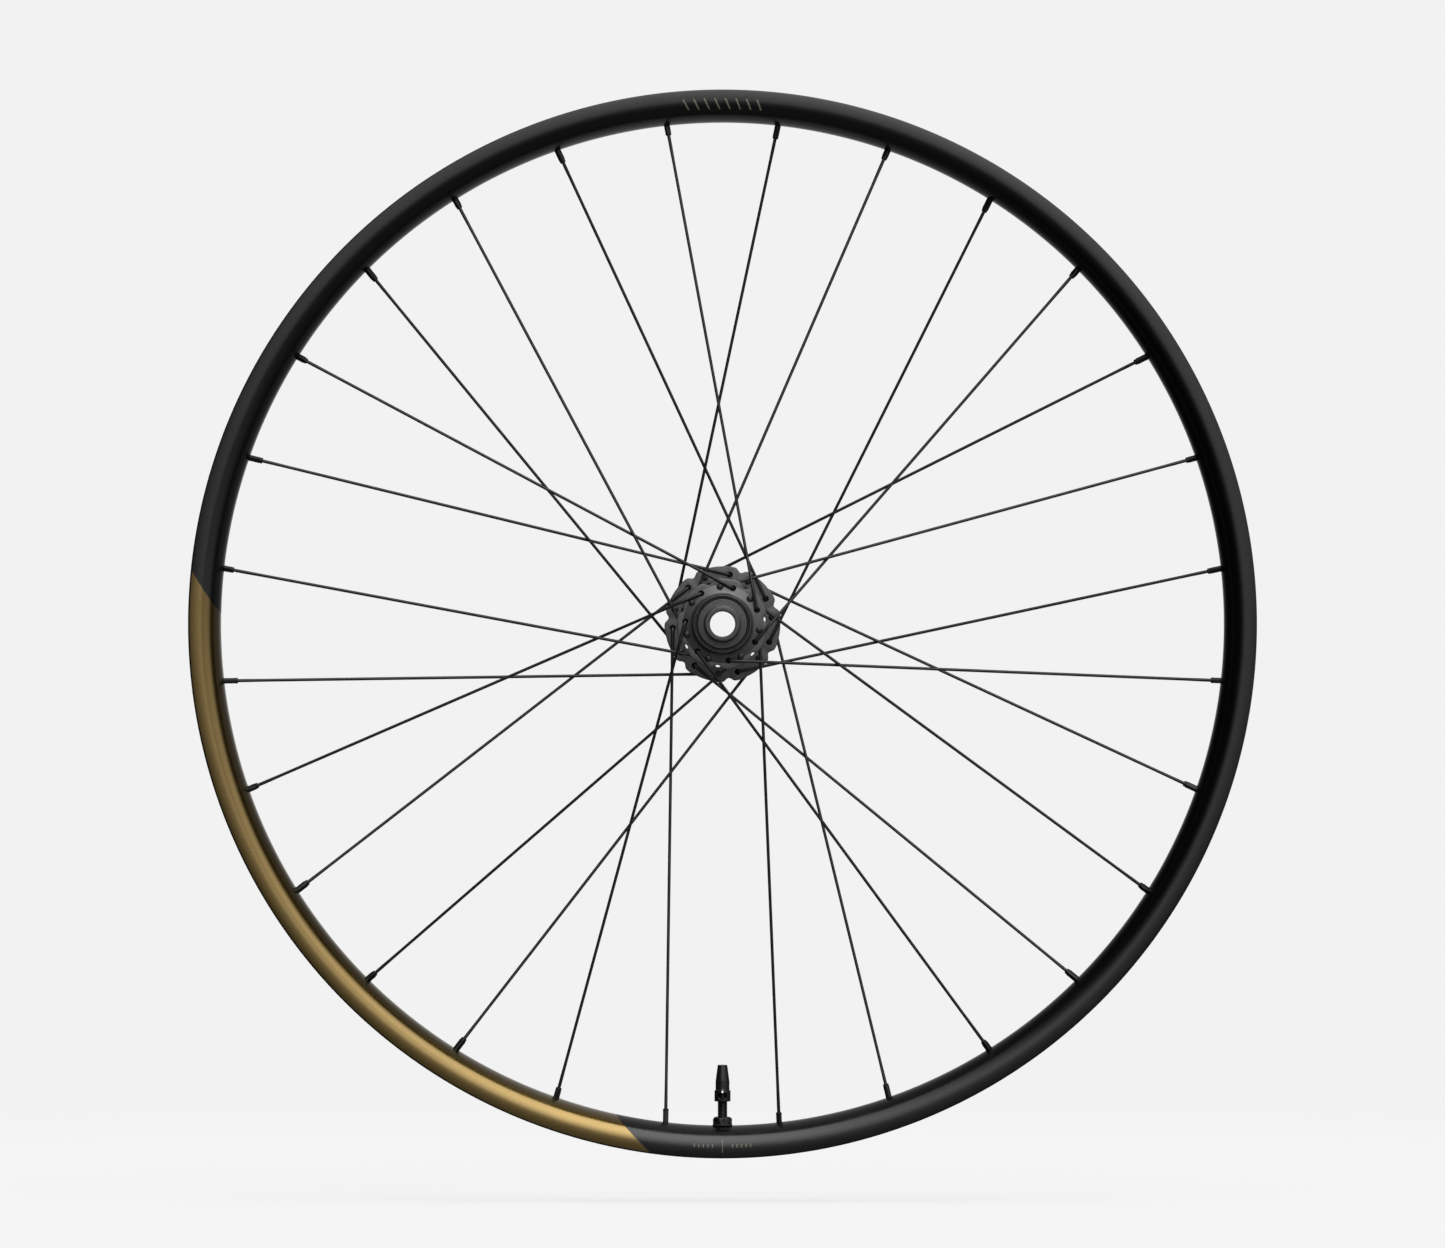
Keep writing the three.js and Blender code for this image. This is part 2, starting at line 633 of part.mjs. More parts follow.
// The balls and the cage that spaces them, joined.
function ballSetGeometry({ sign, bearingFace }) {
  const middle = sign * (bearingFace - BEARING_WIDTH / 2);
  const cageSection = [
    [BALL_CIRCLE_R - CAGE_HALF_THICKNESS, middle - CAGE_HALF_WIDTH],
    [BALL_CIRCLE_R + CAGE_HALF_THICKNESS, middle - CAGE_HALF_WIDTH],
    [BALL_CIRCLE_R + CAGE_HALF_THICKNESS, middle + CAGE_HALF_WIDTH],
    [BALL_CIRCLE_R - CAGE_HALF_THICKNESS, middle + CAGE_HALF_WIDTH],
  ];
  let set = toSolid(ring(cageSection, HUB_SEGMENTS));
  for (let ball = 0; ball < BALLS; ball += 1) {
    const { x, z } = onCircle(BALL_CIRCLE_R, (ball * 360) / BALLS);
    set = set.add(toSolid(new THREE.OctahedronGeometry(BALL_R).translate(x, middle, z)));
  }
  return toGeometry(set);
}

// A thin rubber shield between the rings, at the given distance from the bearing's outer face.
function sealSection({ sign, bearingFace }, inset) {
  const face = bearingFace - inset;
  return onSide(
    [
      [INNER_LAND_R + GAP, face - SEAL_THICKNESS],
      [OUTER_LAND_R - GAP, face - SEAL_THICKNESS],
      [OUTER_LAND_R - GAP, face],
      [INNER_LAND_R + GAP, face],
    ],
    sign,
  );
}

const seal = (end, inset) => ring(sealSection(end, inset), HUB_SEGMENTS);
const innerSealInset = BEARING_WIDTH - SEAL_INSET - SEAL_THICKNESS;

for (const [side, end] of [['right', RIGHT_END], ['left', LEFT_END]]) {
  add(`end_cap_${side}`, ring(endCapSection(end), HUB_SEGMENTS), ANODISED);
  add(`axle_oring_${side}`, ring(oRingSection(end), HUB_SEGMENTS), BLACK_RUBBER);
  add(`bearing_inner_ring_${side}`, ring(innerRingSection(end), HUB_SEGMENTS), BEARING_STEEL);
  add(`bearing_outer_ring_${side}`, ring(outerRingSection(end), HUB_SEGMENTS), BEARING_STEEL);
  add(`bearing_balls_${side}`, ballSetGeometry(end), BEARING_STEEL);
  add(`bearing_outer_seal_${side}`, seal(end, SEAL_INSET), BLACK_RUBBER);
  add(`bearing_inner_seal_${side}`, seal(end, innerSealInset), BLACK_RUBBER);
}

// ---------------------------------------------------------------- valve

// A turned piece about the valve's axis. The section is a closed list of [radius, distance from
// the wheel's centre], with the distances growing along the outside.
function turned(section) {
  return ring(section, VALVE_SEGMENTS).rotateX(-Math.PI / 2);
}

const capSection = [
  [STEM_R + GAP, CAP_BOTTOM],
  [STEM_R + GAP, CORE_TOP + 1],
  [CORE_HEAD_R + 0.2, CORE_TOP - 1],
  [CORE_NUT_R - 0.2, CAP_TOP + 1.5],
  [0, CAP_TOP + 1.5],
  [0, CAP_TOP],
  [CAP_TOP_R, CAP_TOP],
  [CAP_CONE_R, CAP_CONE_END],
  [CAP_WAIST_R, CAP_COLLAR_TOP],
  [CAP_COLLAR_R, CAP_COLLAR_TOP + 0.5],
  [CAP_COLLAR_R, CAP_BOTTOM],
];
const stemSection = [
  [STEM_BORE_R, STEM_TOP],
  [STEM_R, STEM_TOP],
  [STEM_R, STEM_FLANGE_FROM],
  [STEM_FLANGE_R, STEM_FLANGE_FROM],
  [STEM_FLANGE_R, STEM_BASE],
  [STEM_BORE_R, STEM_BASE],
];
const coreSection = [
  [CORE_BORE_R, CORE_TOP],
  [CORE_HEAD_R, CORE_TOP],
  [CORE_HEAD_R, STEM_TOP - GAP],
  [CORE_R, STEM_TOP - GAP],
  [CORE_R, CORE_BOTTOM],
  [CORE_BORE_R, CORE_BOTTOM],
];
const coreNutSection = [
  [CORE_BORE_R, CORE_TOP - GAP - CORE_NUT_HEIGHT],
  [CORE_NUT_R, CORE_TOP - GAP - CORE_NUT_HEIGHT],
  [CORE_NUT_R, CORE_TOP - GAP],
  [CORE_BORE_R, CORE_TOP - GAP],
];
const grommetSection = [
  [STEM_R + GAP, GROMMET_TOP],
  [GROMMET_R, GROMMET_TOP],
  [GROMMET_BASE_R, GROMMET_BOTTOM],
  [STEM_R + GAP, GROMMET_BOTTOM],
];
const nutSection = [
  [STEM_R + GAP, NUT_TOP],
  [NUT_R - NUT_DOME, NUT_TOP],
  [NUT_R, NUT_TOP + NUT_DOME],
  [NUT_R, WASHER_TOP - GAP],
  [STEM_R + GAP, WASHER_TOP - GAP],
];
const washerSection = [
  [STEM_R + GAP, WASHER_TOP],
  [WASHER_R, WASHER_TOP],
  [WASHER_R, WASHER_BOTTOM],
  [STEM_R + GAP, WASHER_BOTTOM],
];

// The valve's cap, with a window through both sides of its collar.
function capGeometry() {
  const windowZ = -(CAP_COLLAR_TOP + CAP_BOTTOM) / 2 - 0.2;
  const window = new THREE.BoxGeometry(CAP_WINDOW_WIDTH, 3 * CAP_COLLAR_R, CAP_WINDOW_HEIGHT);
  window.translate(0, 0, windowZ);
  return toGeometry(toSolid(turned(capSection)).subtract(toSolid(window)));
}

// The pin that runs through the core, with the plug on its inner end that closes the valve.
function pinGeometry() {
  const station = (distance, radius) => ({ at: new THREE.Vector3(0, 0, -distance), radius });
  const plugFrom = CORE_BOTTOM + GAP;
  return rod(
    [
      station(PIN_TOP, PIN_R),
      station(plugFrom, PIN_R),
      station(plugFrom + 0.2, PIN_PLUG_R),
      station(plugFrom + PIN_PLUG_HEIGHT, PIN_PLUG_R),
    ],
    8,
  );
}

add('valve_stem', turned(stemSection), VALVE_METAL);
add('valve_core', turned(coreSection), BRASS);
add('valve_core_pin', pinGeometry(), BRASS);
add('valve_core_nut', turned(coreNutSection), BRASS);
add('valve_cap', capGeometry(), VALVE_METAL);
add('valve_grommet', turned(grommetSection), BLACK_RUBBER);
add('valve_nut', turned(nutSection), VALVE_METAL);
add('valve_nut_washer', turned(washerSection), BLACK_RUBBER);

export default wheel;
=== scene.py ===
"""The looks of a spoked bicycle front wheel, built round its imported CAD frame.

Lengths are in millimetres until a mesh is made, and angles are in degrees in the XZ plane, from +X
towards +Z. The spin axis is +Y, the photographed right side is -Y, and the valve is at the bottom.
"""
import math

import bpy
from mathutils import Matrix, Vector


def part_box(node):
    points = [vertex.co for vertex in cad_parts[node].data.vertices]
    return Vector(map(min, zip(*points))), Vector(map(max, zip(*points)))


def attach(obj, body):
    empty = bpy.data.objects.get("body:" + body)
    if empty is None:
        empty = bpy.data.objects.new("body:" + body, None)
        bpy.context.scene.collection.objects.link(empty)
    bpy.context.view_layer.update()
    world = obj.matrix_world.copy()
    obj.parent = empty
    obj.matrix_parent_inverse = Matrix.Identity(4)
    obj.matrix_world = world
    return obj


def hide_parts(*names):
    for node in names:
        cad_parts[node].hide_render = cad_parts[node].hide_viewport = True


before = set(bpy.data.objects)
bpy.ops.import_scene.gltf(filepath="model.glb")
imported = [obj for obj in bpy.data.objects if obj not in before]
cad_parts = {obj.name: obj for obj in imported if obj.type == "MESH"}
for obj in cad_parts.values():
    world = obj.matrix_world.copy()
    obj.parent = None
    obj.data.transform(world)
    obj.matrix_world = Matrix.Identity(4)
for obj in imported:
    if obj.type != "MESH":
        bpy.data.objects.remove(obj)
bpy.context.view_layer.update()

MM = 0.001

# ------------------------------------------------------------------ sizes read from the frame


def node_box(node):
    """A node's lowest and highest corners, in millimetres."""
    low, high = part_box(node)
    return low / MM, high / MM


RIM_R = node_box("rim")[1].z
RIM_HALF_WIDTH = node_box("rim")[1].y
END_FACE_Y = node_box("end_cap_left")[1].y
CAP_TOP = -node_box("valve_cap")[1].z
CAP_BOTTOM = -node_box("valve_cap")[0].z
NUT_TOP = -node_box("valve_nut")[1].z
STEM_BASE = -node_box("valve_stem")[0].z
STEM_TOP = -node_box("valve_stem")[1].z
PIN_TOP = -node_box("valve_core_pin")[1].z
PIN_END = -node_box("valve_core_pin")[0].z

# ------------------------------------------------------------------ sizes this script repeats

HOOK_HEIGHT = 6.5
BEAD_SEAT_R = RIM_R - HOOK_HEIGHT
SPOKE_BED_R = RIM_R - 18.85
WELL_R = BEAD_SEAT_R - 3.5
SPOKE_BED_WALL = 3.3
CHANNEL_HALF_WIDTH = 15.5

SPOKES = 28
PITCH = 360 / SPOKES
LOBES = 7
LOBE_PITCH = 360 / LOBES
NIPPLE_LEAD = 5 * PITCH
LOBES_TO_LAST_CROSSING = 2
CROSSING_OFFSET = 1.05
ELBOW_R = 2.2
ELBOW_LIFT = 0.5
HEAD_GAP = 0.3
HEAD_THICKNESS = 1.2
SPOKE_END_R = 1.0
SPOKE_MID_R = 0.9
NIPPLE_SEAT_R = 303

FLANGE_HALF_THICKNESS = 1.6
RIGHT_FLANGE = {
    "y": -37, "outward": -1, "hole_r": 22, "lobe_r": 26.8, "notch_r": 24.5, "notch_half": 9.5,
    "first_lobe": 2.5 * PITCH, "spread": 10.2, "acw_outside": True, "shank": 10.3,
}
LEFT_FLANGE = {
    "y": 27, "outward": 1, "hole_r": 29.9, "lobe_r": 34.6, "notch_r": 32.5, "notch_half": 6.5,
    "first_lobe": 3.5 * PITCH, "spread": 14.7, "acw_outside": False, "shank": 12.4,
}
BORE_R = 7.55
AXLE_R = 8.5
AXLE_HALF_LENGTH = 49.7
BEARING_WIDTH = 7
BALL_R = 1.98
BALL_CIRCLE_R = 11.75
RIGHT_END = {"side": "right", "sign": -1, "face": 41.3, "shell_end": 44, "mouth_r": 16.5}
LEFT_END = {"side": "left", "sign": 1, "face": 43.6, "shell_end": 46.5, "mouth_r": 16.2}
ROTOR_SEAT_Y = 44.5
ROTOR_ARM_THICKNESS = 5
ROTOR_FIRST_ARM = 49.3
ROTOR_ARM_R = 26.5
ROTOR_ARM_HALF_WIDTH = 6.1
WINDOW_CIRCLE_R = 23.6
WINDOW_R = 2.3
VALVE_ANGLE = 270

# ------------------------------------------------------------------ outlines and paths


def fillet(points, radius=0.3, steps=4, closed=True):
    """Rounds the corners of a flat outline. A point is (u, v), or (u, v, its own radius)."""
    rounded = []
    count = len(points)
    for i, point in enumerate(points):
        corner = Vector(point[:2])
        if not closed and i in (0, count - 1):
            rounded.append(tuple(corner))
            continue
        want = point[2] if len(point) > 2 else radius
        back = Vector(points[i - 1][:2]) - corner
        ahead = Vector(points[(i + 1) % count][:2]) - corner
        angle = back.angle(ahead, math.pi)
        if want <= 0 or angle > math.radians(177) or angle < math.radians(2):
            rounded.append(tuple(corner))
            continue
        reach = min(want / math.tan(angle / 2), 0.49 * back.length, 0.49 * ahead.length)
        start = corner + back.normalized() * reach
        end = corner + ahead.normalized() * reach
        bisector = (back.normalized() + ahead.normalized()).normalized()
        centre = corner + bisector * (reach / math.cos(angle / 2))
        first, last = start - centre, end - centre
        sweep = first.angle_signed(last, 0)
        for step in range(steps + 1):
            turn = -sweep * step / steps
            rounded.append(tuple(centre + Matrix.Rotation(turn, 2) @ first))
    return rounded


def smooth_curve(points, steps):
    """A Catmull-Rom curve through points, with its ends held."""
    points = [Vector(p) for p in points]
    padded = [2 * points[0] - points[1], *points, 2 * points[-1] - points[-2]]
    curve = []
    for a, b, c, d in zip(padded, padded[1:], padded[2:], padded[3:]):
        for step in range(steps):
            t = step / steps
            square, cube = 2 * a - 5 * b + 4 * c - d, 3 * b - a - 3 * c + d
            curve.append(0.5 * (2 * b + (c - a) * t + square * t**2 + cube * t**3))
    curve.append(points[-1])
    return [tuple(p) for p in curve]


def rounded_path(corners, steps=6):
    """A 3-D path with each corner replaced by an arc. A corner is (point, bend radius)."""
    path = [corners[0][0]]
    for (before, _), (corner, radius), (after, _) in zip(corners, corners[1:], corners[2:]):
        back, ahead = (before - corner).normalized(), (after - corner).normalized()
        half = back.angle(ahead) / 2
        reach = radius / math.tan(half)
        centre = corner + (back + ahead).normalized() * (radius / math.sin(half))
        start = corner + back * reach - centre
        normal = start.cross(corner + ahead * reach - centre).normalized()
        sweep = math.pi - 2 * half
        for step in range(steps + 1):
            path.append(centre + Matrix.Rotation(sweep * step / steps, 3, normal) @ start)
    path.append(corners[-1][0])
    return path


def on_circle(radius, angle, y=0.0):
    return Vector((radius * math.cos(math.radians(angle)), y, radius * math.sin(math.radians(angle))))


# ------------------------------------------------------------------ meshes


def grid_faces(rows, columns, close_rows=False):
    """Quads over rows of vertices. Each row is a closed loop, and close_rows joins the last to the first."""
    faces = []
    for i in range(rows if close_rows else rows - 1):
        for j in range(columns):
            a, b = i * columns + j, i * columns + (j + 1) % columns
            c, d = (i + 1) % rows * columns + (j + 1) % columns, (i + 1) % rows * columns + j
            faces.append((a, b, c, d))
    return faces


def capped_faces(rows, columns):
    """The faces of a grid with its first and last rows closed."""
    first = tuple(range(columns))
    last = tuple((rows - 1) * columns + column for column in range(columns))
    return [*grid_faces(rows, columns), first[::-1], last]


def make(name, vertices, faces, *materials, sharp=32):
    """A smooth-shaded object from vertices in millimetres, sharp where faces meet at a larger angle."""
    mesh = bpy.data.meshes.new(name)
    mesh.from_pydata([Vector(v) * MM for v in vertices], [], faces)
    mesh.validate()
    for material in materials:
        mesh.materials.append(material)
    piece = bpy.data.objects.new(name, mesh)
    bpy.context.scene.collection.objects.link(piece)
    finish_normals(piece, sharp)
    return piece


def finish_normals(piece, sharp=32):
    piece.data.shade_smooth()
    piece.data.set_sharp_from_angle(angle=math.radians(sharp))


def ring_mesh(section, segments):
    """A ring about Y from a closed section of (radius, y), anticlockwise with the radius to the right."""
    vertices = [on_circle(radius, 360 * j / segments, y) for j in range(segments) for radius, y in section]
    return vertices, grid_faces(segments, len(section), close_rows=True)


def stacked_mesh(rows, first, last):
    """A solid from closed rows of points along Y, with a fan at each end round its middle point."""
    count = len(rows[0])
    vertices = [point for row in rows for point in row]
    faces = []
    for row in range(len(rows) - 1):
        for j in range(count):
            a, k = row * count, (j + 1) % count
            faces.append((a + j, a + count + j, a + count + k, a + k))
    tip, top = len(vertices), (len(rows) - 1) * count
    vertices += [first, last]
    for j in range(count):
        k = (j + 1) % count
        faces += [(tip, j, k), (tip + 1, top + k, top + j)]
    return vertices, faces


def solid_mesh(profile, segments):
    """A solid of revolution about Y, from a profile that starts and ends on the axis."""
    angles = [360 * j / segments for j in range(segments)]
    rows = [[on_circle(radius, angle, y) for angle in angles] for radius, y in profile[1:-1]]
    return stacked_mesh(rows, on_circle(0, 0, profile[0][1]), on_circle(0, 0, profile[-1][1]))


def tube_mesh(path, radius_at, sides):
    """A closed tube along a path. radius_at(distance along, turn) gives its radius."""
    vertices = []
    normal = Vector((0.31, 0.23, 0.92))
    travelled = 0.0
    for i, point in enumerate(path):
        before, after = path[max(i - 1, 0)], path[min(i + 1, len(path) - 1)]
        tangent = (after - before).normalized()
        travelled += (point - before).length
        normal = (normal - tangent * normal.dot(tangent)).normalized()
        binormal = tangent.cross(normal)
        for side in range(sides):
            turn = 2 * math.pi * side / sides
            spread = radius_at(travelled, turn)
            vertices.append(point + normal * (spread * math.cos(turn)) + binormal * (spread * math.sin(turn)))
    return vertices, capped_faces(len(path), sides)


def sleeve_mesh(outline_at, levels):
    """A solid from star-shaped outlines stacked along Y: outline_at(level) gives (y, [points])."""
    rows = []
    for level in levels:
        y, outline = outline_at(level)
        rows.append([Vector((u, y, v)) for u, v in outline])
    return stacked_mesh(rows, Vector((0, rows[0][0].y, 0)), Vector((0, rows[-1][0].y, 0)))


def interpolate(table, value):
    """The value between the rows (position, amount) of a table."""
    for (low, a), (high, b) in zip(table, table[1:]):
        if value <= high:
            share = 0 if high == low else max(0.0, (value - low) / (high - low))
            return a + (b - a) * share
    return table[-1][1]


def apply_boolean(base, operation, *others):
    """Cuts or joins other closed pieces into base, and removes them."""
    for other in others:
        modifier = base.modifiers.new("join", "BOOLEAN")
        modifier.operation = operation
        modifier.solver = "MANIFOLD"
        modifier.object = other
    graph = bpy.context.evaluated_depsgraph_get()
    graph.update()
    result = bpy.data.meshes.new_from_object(base.evaluated_get(graph))
    base.modifiers.clear()
    base.data = result
    for other in others:
        bpy.data.objects.remove(other)
    finish_normals(base)
    return base


def merged(name, parts, *materials):
    """One object from several (vertices, faces) that don't touch."""
    vertices, faces = [], []
    for part_vertices, part_faces in parts:
        start = len(vertices)
        vertices.extend(part_vertices)
        faces.extend(tuple(i + start for i in face) for face in part_faces)
    return make(name, vertices, faces, *materials)


def take_second_material(piece):
    """Gives every face the second material, which a cut then leaves on the faces that it makes."""
    for face in piece.data.polygons:
        face.material_index = 1
    return piece


def moved(mesh, matrix):
    vertices, faces = mesh
    return [matrix @ Vector(v) for v in vertices], faces


def along_axis(mesh, origin, direction):
    """Turns a mesh made about Y so that its +Y runs along direction from origin."""
    turn = Vector((0, 1, 0)).rotation_difference(Vector(direction).normalized()).to_matrix().to_4x4()
    return moved(mesh, Matrix.Translation(origin) @ turn)


def outward_faces(mesh):
    """The same mesh with its faces turned over."""
    vertices, faces = mesh
    return vertices, [face[::-1] for face in faces]


def place(piece, body, slot, *nodes):
    """Rides the piece on its body, and lets it stand for its CAD nodes."""
    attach(piece, body)
    if nodes:
        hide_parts(*nodes)
    return piece


# ------------------------------------------------------------------ materials

ALONG_AXLE = (0, 1, 0)
ACROSS_AXLE = (1, 0, 1)
MAP_RANGE_SOCKETS = ("Value", "From Min", "From Max", "To Min", "To Max")


class Graph:
    """Shader nodes under construction, and short calls that add and join them."""

    def __init__(self, tree):
        self.tree = tree

    def node(self, kind, **settings):
        made = self.tree.nodes.new(kind)
        for key, value in settings.items():
            setattr(made, key, value)
        return made

    def link(self, source, target):
        self.tree.links.new(source, target)

    def feed(self, target, value):
        """Joins value to a socket, or sets it where value is a plain number or colour."""
        if isinstance(value, bpy.types.NodeSocket):
            self.link(value, target)
        else:
            target.default_value = value

    def math(self, operation, a, b=0.0, clamp=False):
        made = self.node("ShaderNodeMath", operation=operation, use_clamp=clamp)
        self.feed(made.inputs[0], a)
        self.feed(made.inputs[1], b)
        return made.outputs[0]

    def position(self):
        return self.node("ShaderNodeTexCoord").outputs["Object"]

    def vector(self, operation, output, vector, other=None):
        made = self.node("ShaderNodeVectorMath", operation=operation)
        self.link(vector, made.inputs[0])
        if other:
            made.inputs[1].default_value = other
        return made.outputs[output]

    def dot(self, vector, direction):
        return self.vector("DOT_PRODUCT", "Value", vector, direction)

    def length(self, vector, axes):
        """The length of a vector's part along some of the axes."""
        return self.vector("LENGTH", "Value", self.vector("MULTIPLY", "Vector", vector, axes))

    def noise(self, scale, detail=4.0, roughness=0.55, vector=None):
        made = self.node("ShaderNodeTexNoise")
        self.link(vector or self.position(), made.inputs["Vector"])
        made.inputs["Scale"].default_value = scale
        made.inputs["Detail"].default_value = detail
        made.inputs["Roughness"].default_value = roughness
        return made.outputs["Fac"]

    def cells(self, scale, vector=None):
        made = self.node("ShaderNodeTexVoronoi")
        self.link(vector or self.position(), made.inputs["Vector"])
        made.inputs["Scale"].default_value = scale
        return made.outputs

    def between(self, value, low, high, to_low=0.0, to_high=1.0, smooth=False):
        """Maps low to high onto to_low to to_high, and holds the ends outside them."""
        made = self.node("ShaderNodeMapRange", interpolation_type="SMOOTHSTEP" if smooth else "LINEAR")
        for key, number in zip(MAP_RANGE_SOCKETS, (value, low, high, to_low, to_high)):
            self.feed(made.inputs[key], number)
        return made.outputs["Result"]

    def mix(self, factor, a, b):
        made = self.node("ShaderNodeMix", data_type="RGBA")
        self.feed(made.inputs["Factor"], factor)
        for socket, value in ((made.inputs[6], a), (made.inputs[7], b)):
            self.feed(socket, value)
        return made.outputs[2]


class Shader(Graph):
    """A material and its graph."""

    def __init__(self, name):
        self.material = bpy.data.materials.new(name)
        self.material.use_nodes = True
        super().__init__(self.material.node_tree)
        self.principled = self.tree.nodes["Principled BSDF"]

    def set(self, **values):
        for key, value in values.items():
            self.feed(self.principled.inputs[key.replace("_", " ")], value)

    def bump(self, height, distance, strength=1.0):
        made = self.node("ShaderNodeBump")
        made.inputs["Strength"].default_value = strength
        made.inputs["Distance"].default_value = distance
        self.link(height, made.inputs["Height"])
        self.link(made.outputs["Normal"], self.principled.inputs["Normal"])


def grey(value, warmth=0.0):
    """A near-neutral linear colour, warmer above zero warmth and cooler below."""
    return (value * (1 + warmth), value, value * (1 - warmth), 1)


BAND_CENTRE = 218.25  # the middle of the rim's bronze section
BAND_HALF_OUTER = 44.2  # its half length in degrees at the rim's edge
BAND_HALF_INNER = 39.5  # and at the spoke bed
BLACK_EDGE = 1.0  # the width of the black line left round the rim's edge
PAINT_EDGE = 0.12 * MM  # over which one paint gives way to the next
MARKED_FROM = 15.5 * MM  # marks are only on the rim's sides, further out than this
BRONZE = (0.195, 0.12, 0.016, 1)
BRONZE_DARK = (0.17, 0.102, 0.012, 1)
BRONZE_FLAKE = (0.36, 0.26, 0.09, 1)
BRONZE_OUTLINE = (0.03, 0.02, 0.008, 1)
LACQUER = grey(0.0011, -0.04)
LACQUER_WORN = grey(0.0022, -0.03)
MARK_COLOUR = (0.33, 0.29, 0.22, 1)


def paint_coordinates(shader):
    """Distance from the axle, and the angle round the wheel from the middle of the bronze band."""
    position = shader.position()
    radius = shader.length(position, ACROSS_AXLE)
    centre = on_circle(1, BAND_CENTRE)
    across = on_circle(1, BAND_CENTRE + 90)
    angle = shader.math("ARCTAN2", shader.dot(position, across), shader.dot(position, centre))
    return radius, angle


def bar_mark(shader, radius, angle, at, half_width, low, high, slant=0.0):
    """A small slanted bar painted at an angle round the rim, between two distances from the axle."""
    middle = math.radians((at - BAND_CENTRE + 180) % 360 - 180)
    offset = shader.math("SUBTRACT", angle, middle)
    arc = shader.math("MULTIPLY", offset, radius)
    lean = shader.math("MULTIPLY", shader.math("SUBTRACT", radius, (low + high) / 2 * MM), slant)
    sideways = shader.math("ABSOLUTE", shader.math("SUBTRACT", arc, lean))
    inside = shader.between(sideways, half_width * MM + PAINT_EDGE, half_width * MM - PAINT_EDGE)
    above = shader.between(radius, low * MM - PAINT_EDGE, low * MM + PAINT_EDGE)
    below = shader.between(radius, high * MM + PAINT_EDGE, high * MM - PAINT_EDGE)
    return shader.math("MULTIPLY", inside, shader.math("MULTIPLY", above, below))


def rim_marks(shader, radius, angle):
    """Generic marks: a row of slanted bars at the top, and a line and bars by the valve."""
    total = None
    low, high = RIM_R - 11.6, RIM_R - 5.2
    bars = [(90 + 1.15 * i, 0.5, low, high, 0.45) for i in (-3.5, -2.5, -1.5, -0.5, 0.5, 1.5, 2.5, 3.5)]
    bars.append((VALVE_ANGLE, 0.22, RIM_R - 11, RIM_R - 3.6, 0))
    for from_valve in [side * (1.1 + 0.5 * i) for side in (-1, 1) for i in range(5)]:
        bars.append((VALVE_ANGLE + from_valve, 0.3, RIM_R - 8.6, RIM_R - 6.4, 0))
    for bar in bars:
        mark = bar_mark(shader, radius, angle, *bar)
        total = mark if total is None else shader.math("MAXIMUM", total, mark)
    return total


def rim_paint():
    """Satin black lacquer, with one bronze metallic section whose ends are slanted."""
    shader = Shader("rim_paint")
    radius, angle = paint_coordinates(shader)
    half = shader.between(
        radius, SPOKE_BED_R * MM, RIM_R * MM, math.radians(BAND_HALF_INNER), math.radians(BAND_HALF_OUTER)
    )
    from_end = shader.math("MULTIPLY", shader.math("SUBTRACT", half, shader.math("ABSOLUTE", angle)), radius)
    band = shader.between(from_end, -PAINT_EDGE, PAINT_EDGE)
    edge_r = (RIM_R - BLACK_EDGE) * MM
    band = shader.math("MULTIPLY", band, shader.between(radius, edge_r + PAINT_EDGE, edge_r - PAINT_EDGE))
    outline = shader.between(shader.math("ABSOLUTE", from_end), 0.2 * MM, 0.6 * MM)

    flakes = shader.cells(5200)
    sparkle = shader.between(flakes["Color"], 0.35, 0.95)
    mottle = shader.noise(14, 5)
    bronze = shader.mix(mottle, BRONZE_DARK, BRONZE)
    bronze = shader.mix(shader.math("MULTIPLY", sparkle, 0.22), bronze, BRONZE_FLAKE)
    bronze = shader.mix(outline, BRONZE_OUTLINE, bronze)
    dark = shader.mix(shader.noise(9, 4), LACQUER, LACQUER_WORN)
    base = shader.mix(band, dark, bronze)

    marks = shader.math("MULTIPLY", rim_marks(shader, radius, angle), 0.55)
    sideways = shader.math("ABSOLUTE", shader.dot(shader.position(), ALONG_AXLE))
    side = shader.between(sideways, MARKED_FROM, MARKED_FROM + 0.5 * MM)
    marks = shader.math("MULTIPLY", marks, side)
    base = shader.mix(marks, base, MARK_COLOUR)

    smear = shader.noise(38, 6, 0.6)
    black_roughness = shader.between(smear, 0.3, 0.75, 0.19, 0.26)
    bronze_roughness = shader.between(smear, 0.3, 0.75, 0.2, 0.26)
    roughness = shader.math(
        "ADD",
        shader.math("MULTIPLY", band, bronze_roughness),
        shader.math("MULTIPLY", shader.math("SUBTRACT", 1.0, band), black_roughness),
    )
    shader.set(Base_Color=base, Roughness=roughness, Metallic=band, IOR=1.5)
    shader.set(Coat_Weight=shader.math("MULTIPLY", band, 0.85), Coat_Roughness=0.13, Coat_IOR=1.62)
    peel = shader.math("ADD", shader.noise(420, 2), shader.math("MULTIPLY", flakes["Distance"], 0.08))
    shader.bump(peel, 0.00006, 0.35)
    return shader.material


def plain(name, base, second, roughness, metallic, grain, relief, relief_scale, **rest):
    """Two close tones mixed by noise, with its own range of roughness and a fine relief."""
    shader = Shader(name)
    tone = shader.noise(grain, 5)
    shader.set(Base_Color=shader.mix(tone, base, second), Metallic=metallic, **rest)
    shader.set(Roughness=shader.between(shader.noise(grain * 2.3, 6), 0.3, 0.72, *roughness))
    shader.bump(shader.noise(relief_scale, 3), relief, 0.5)
    return shader.material


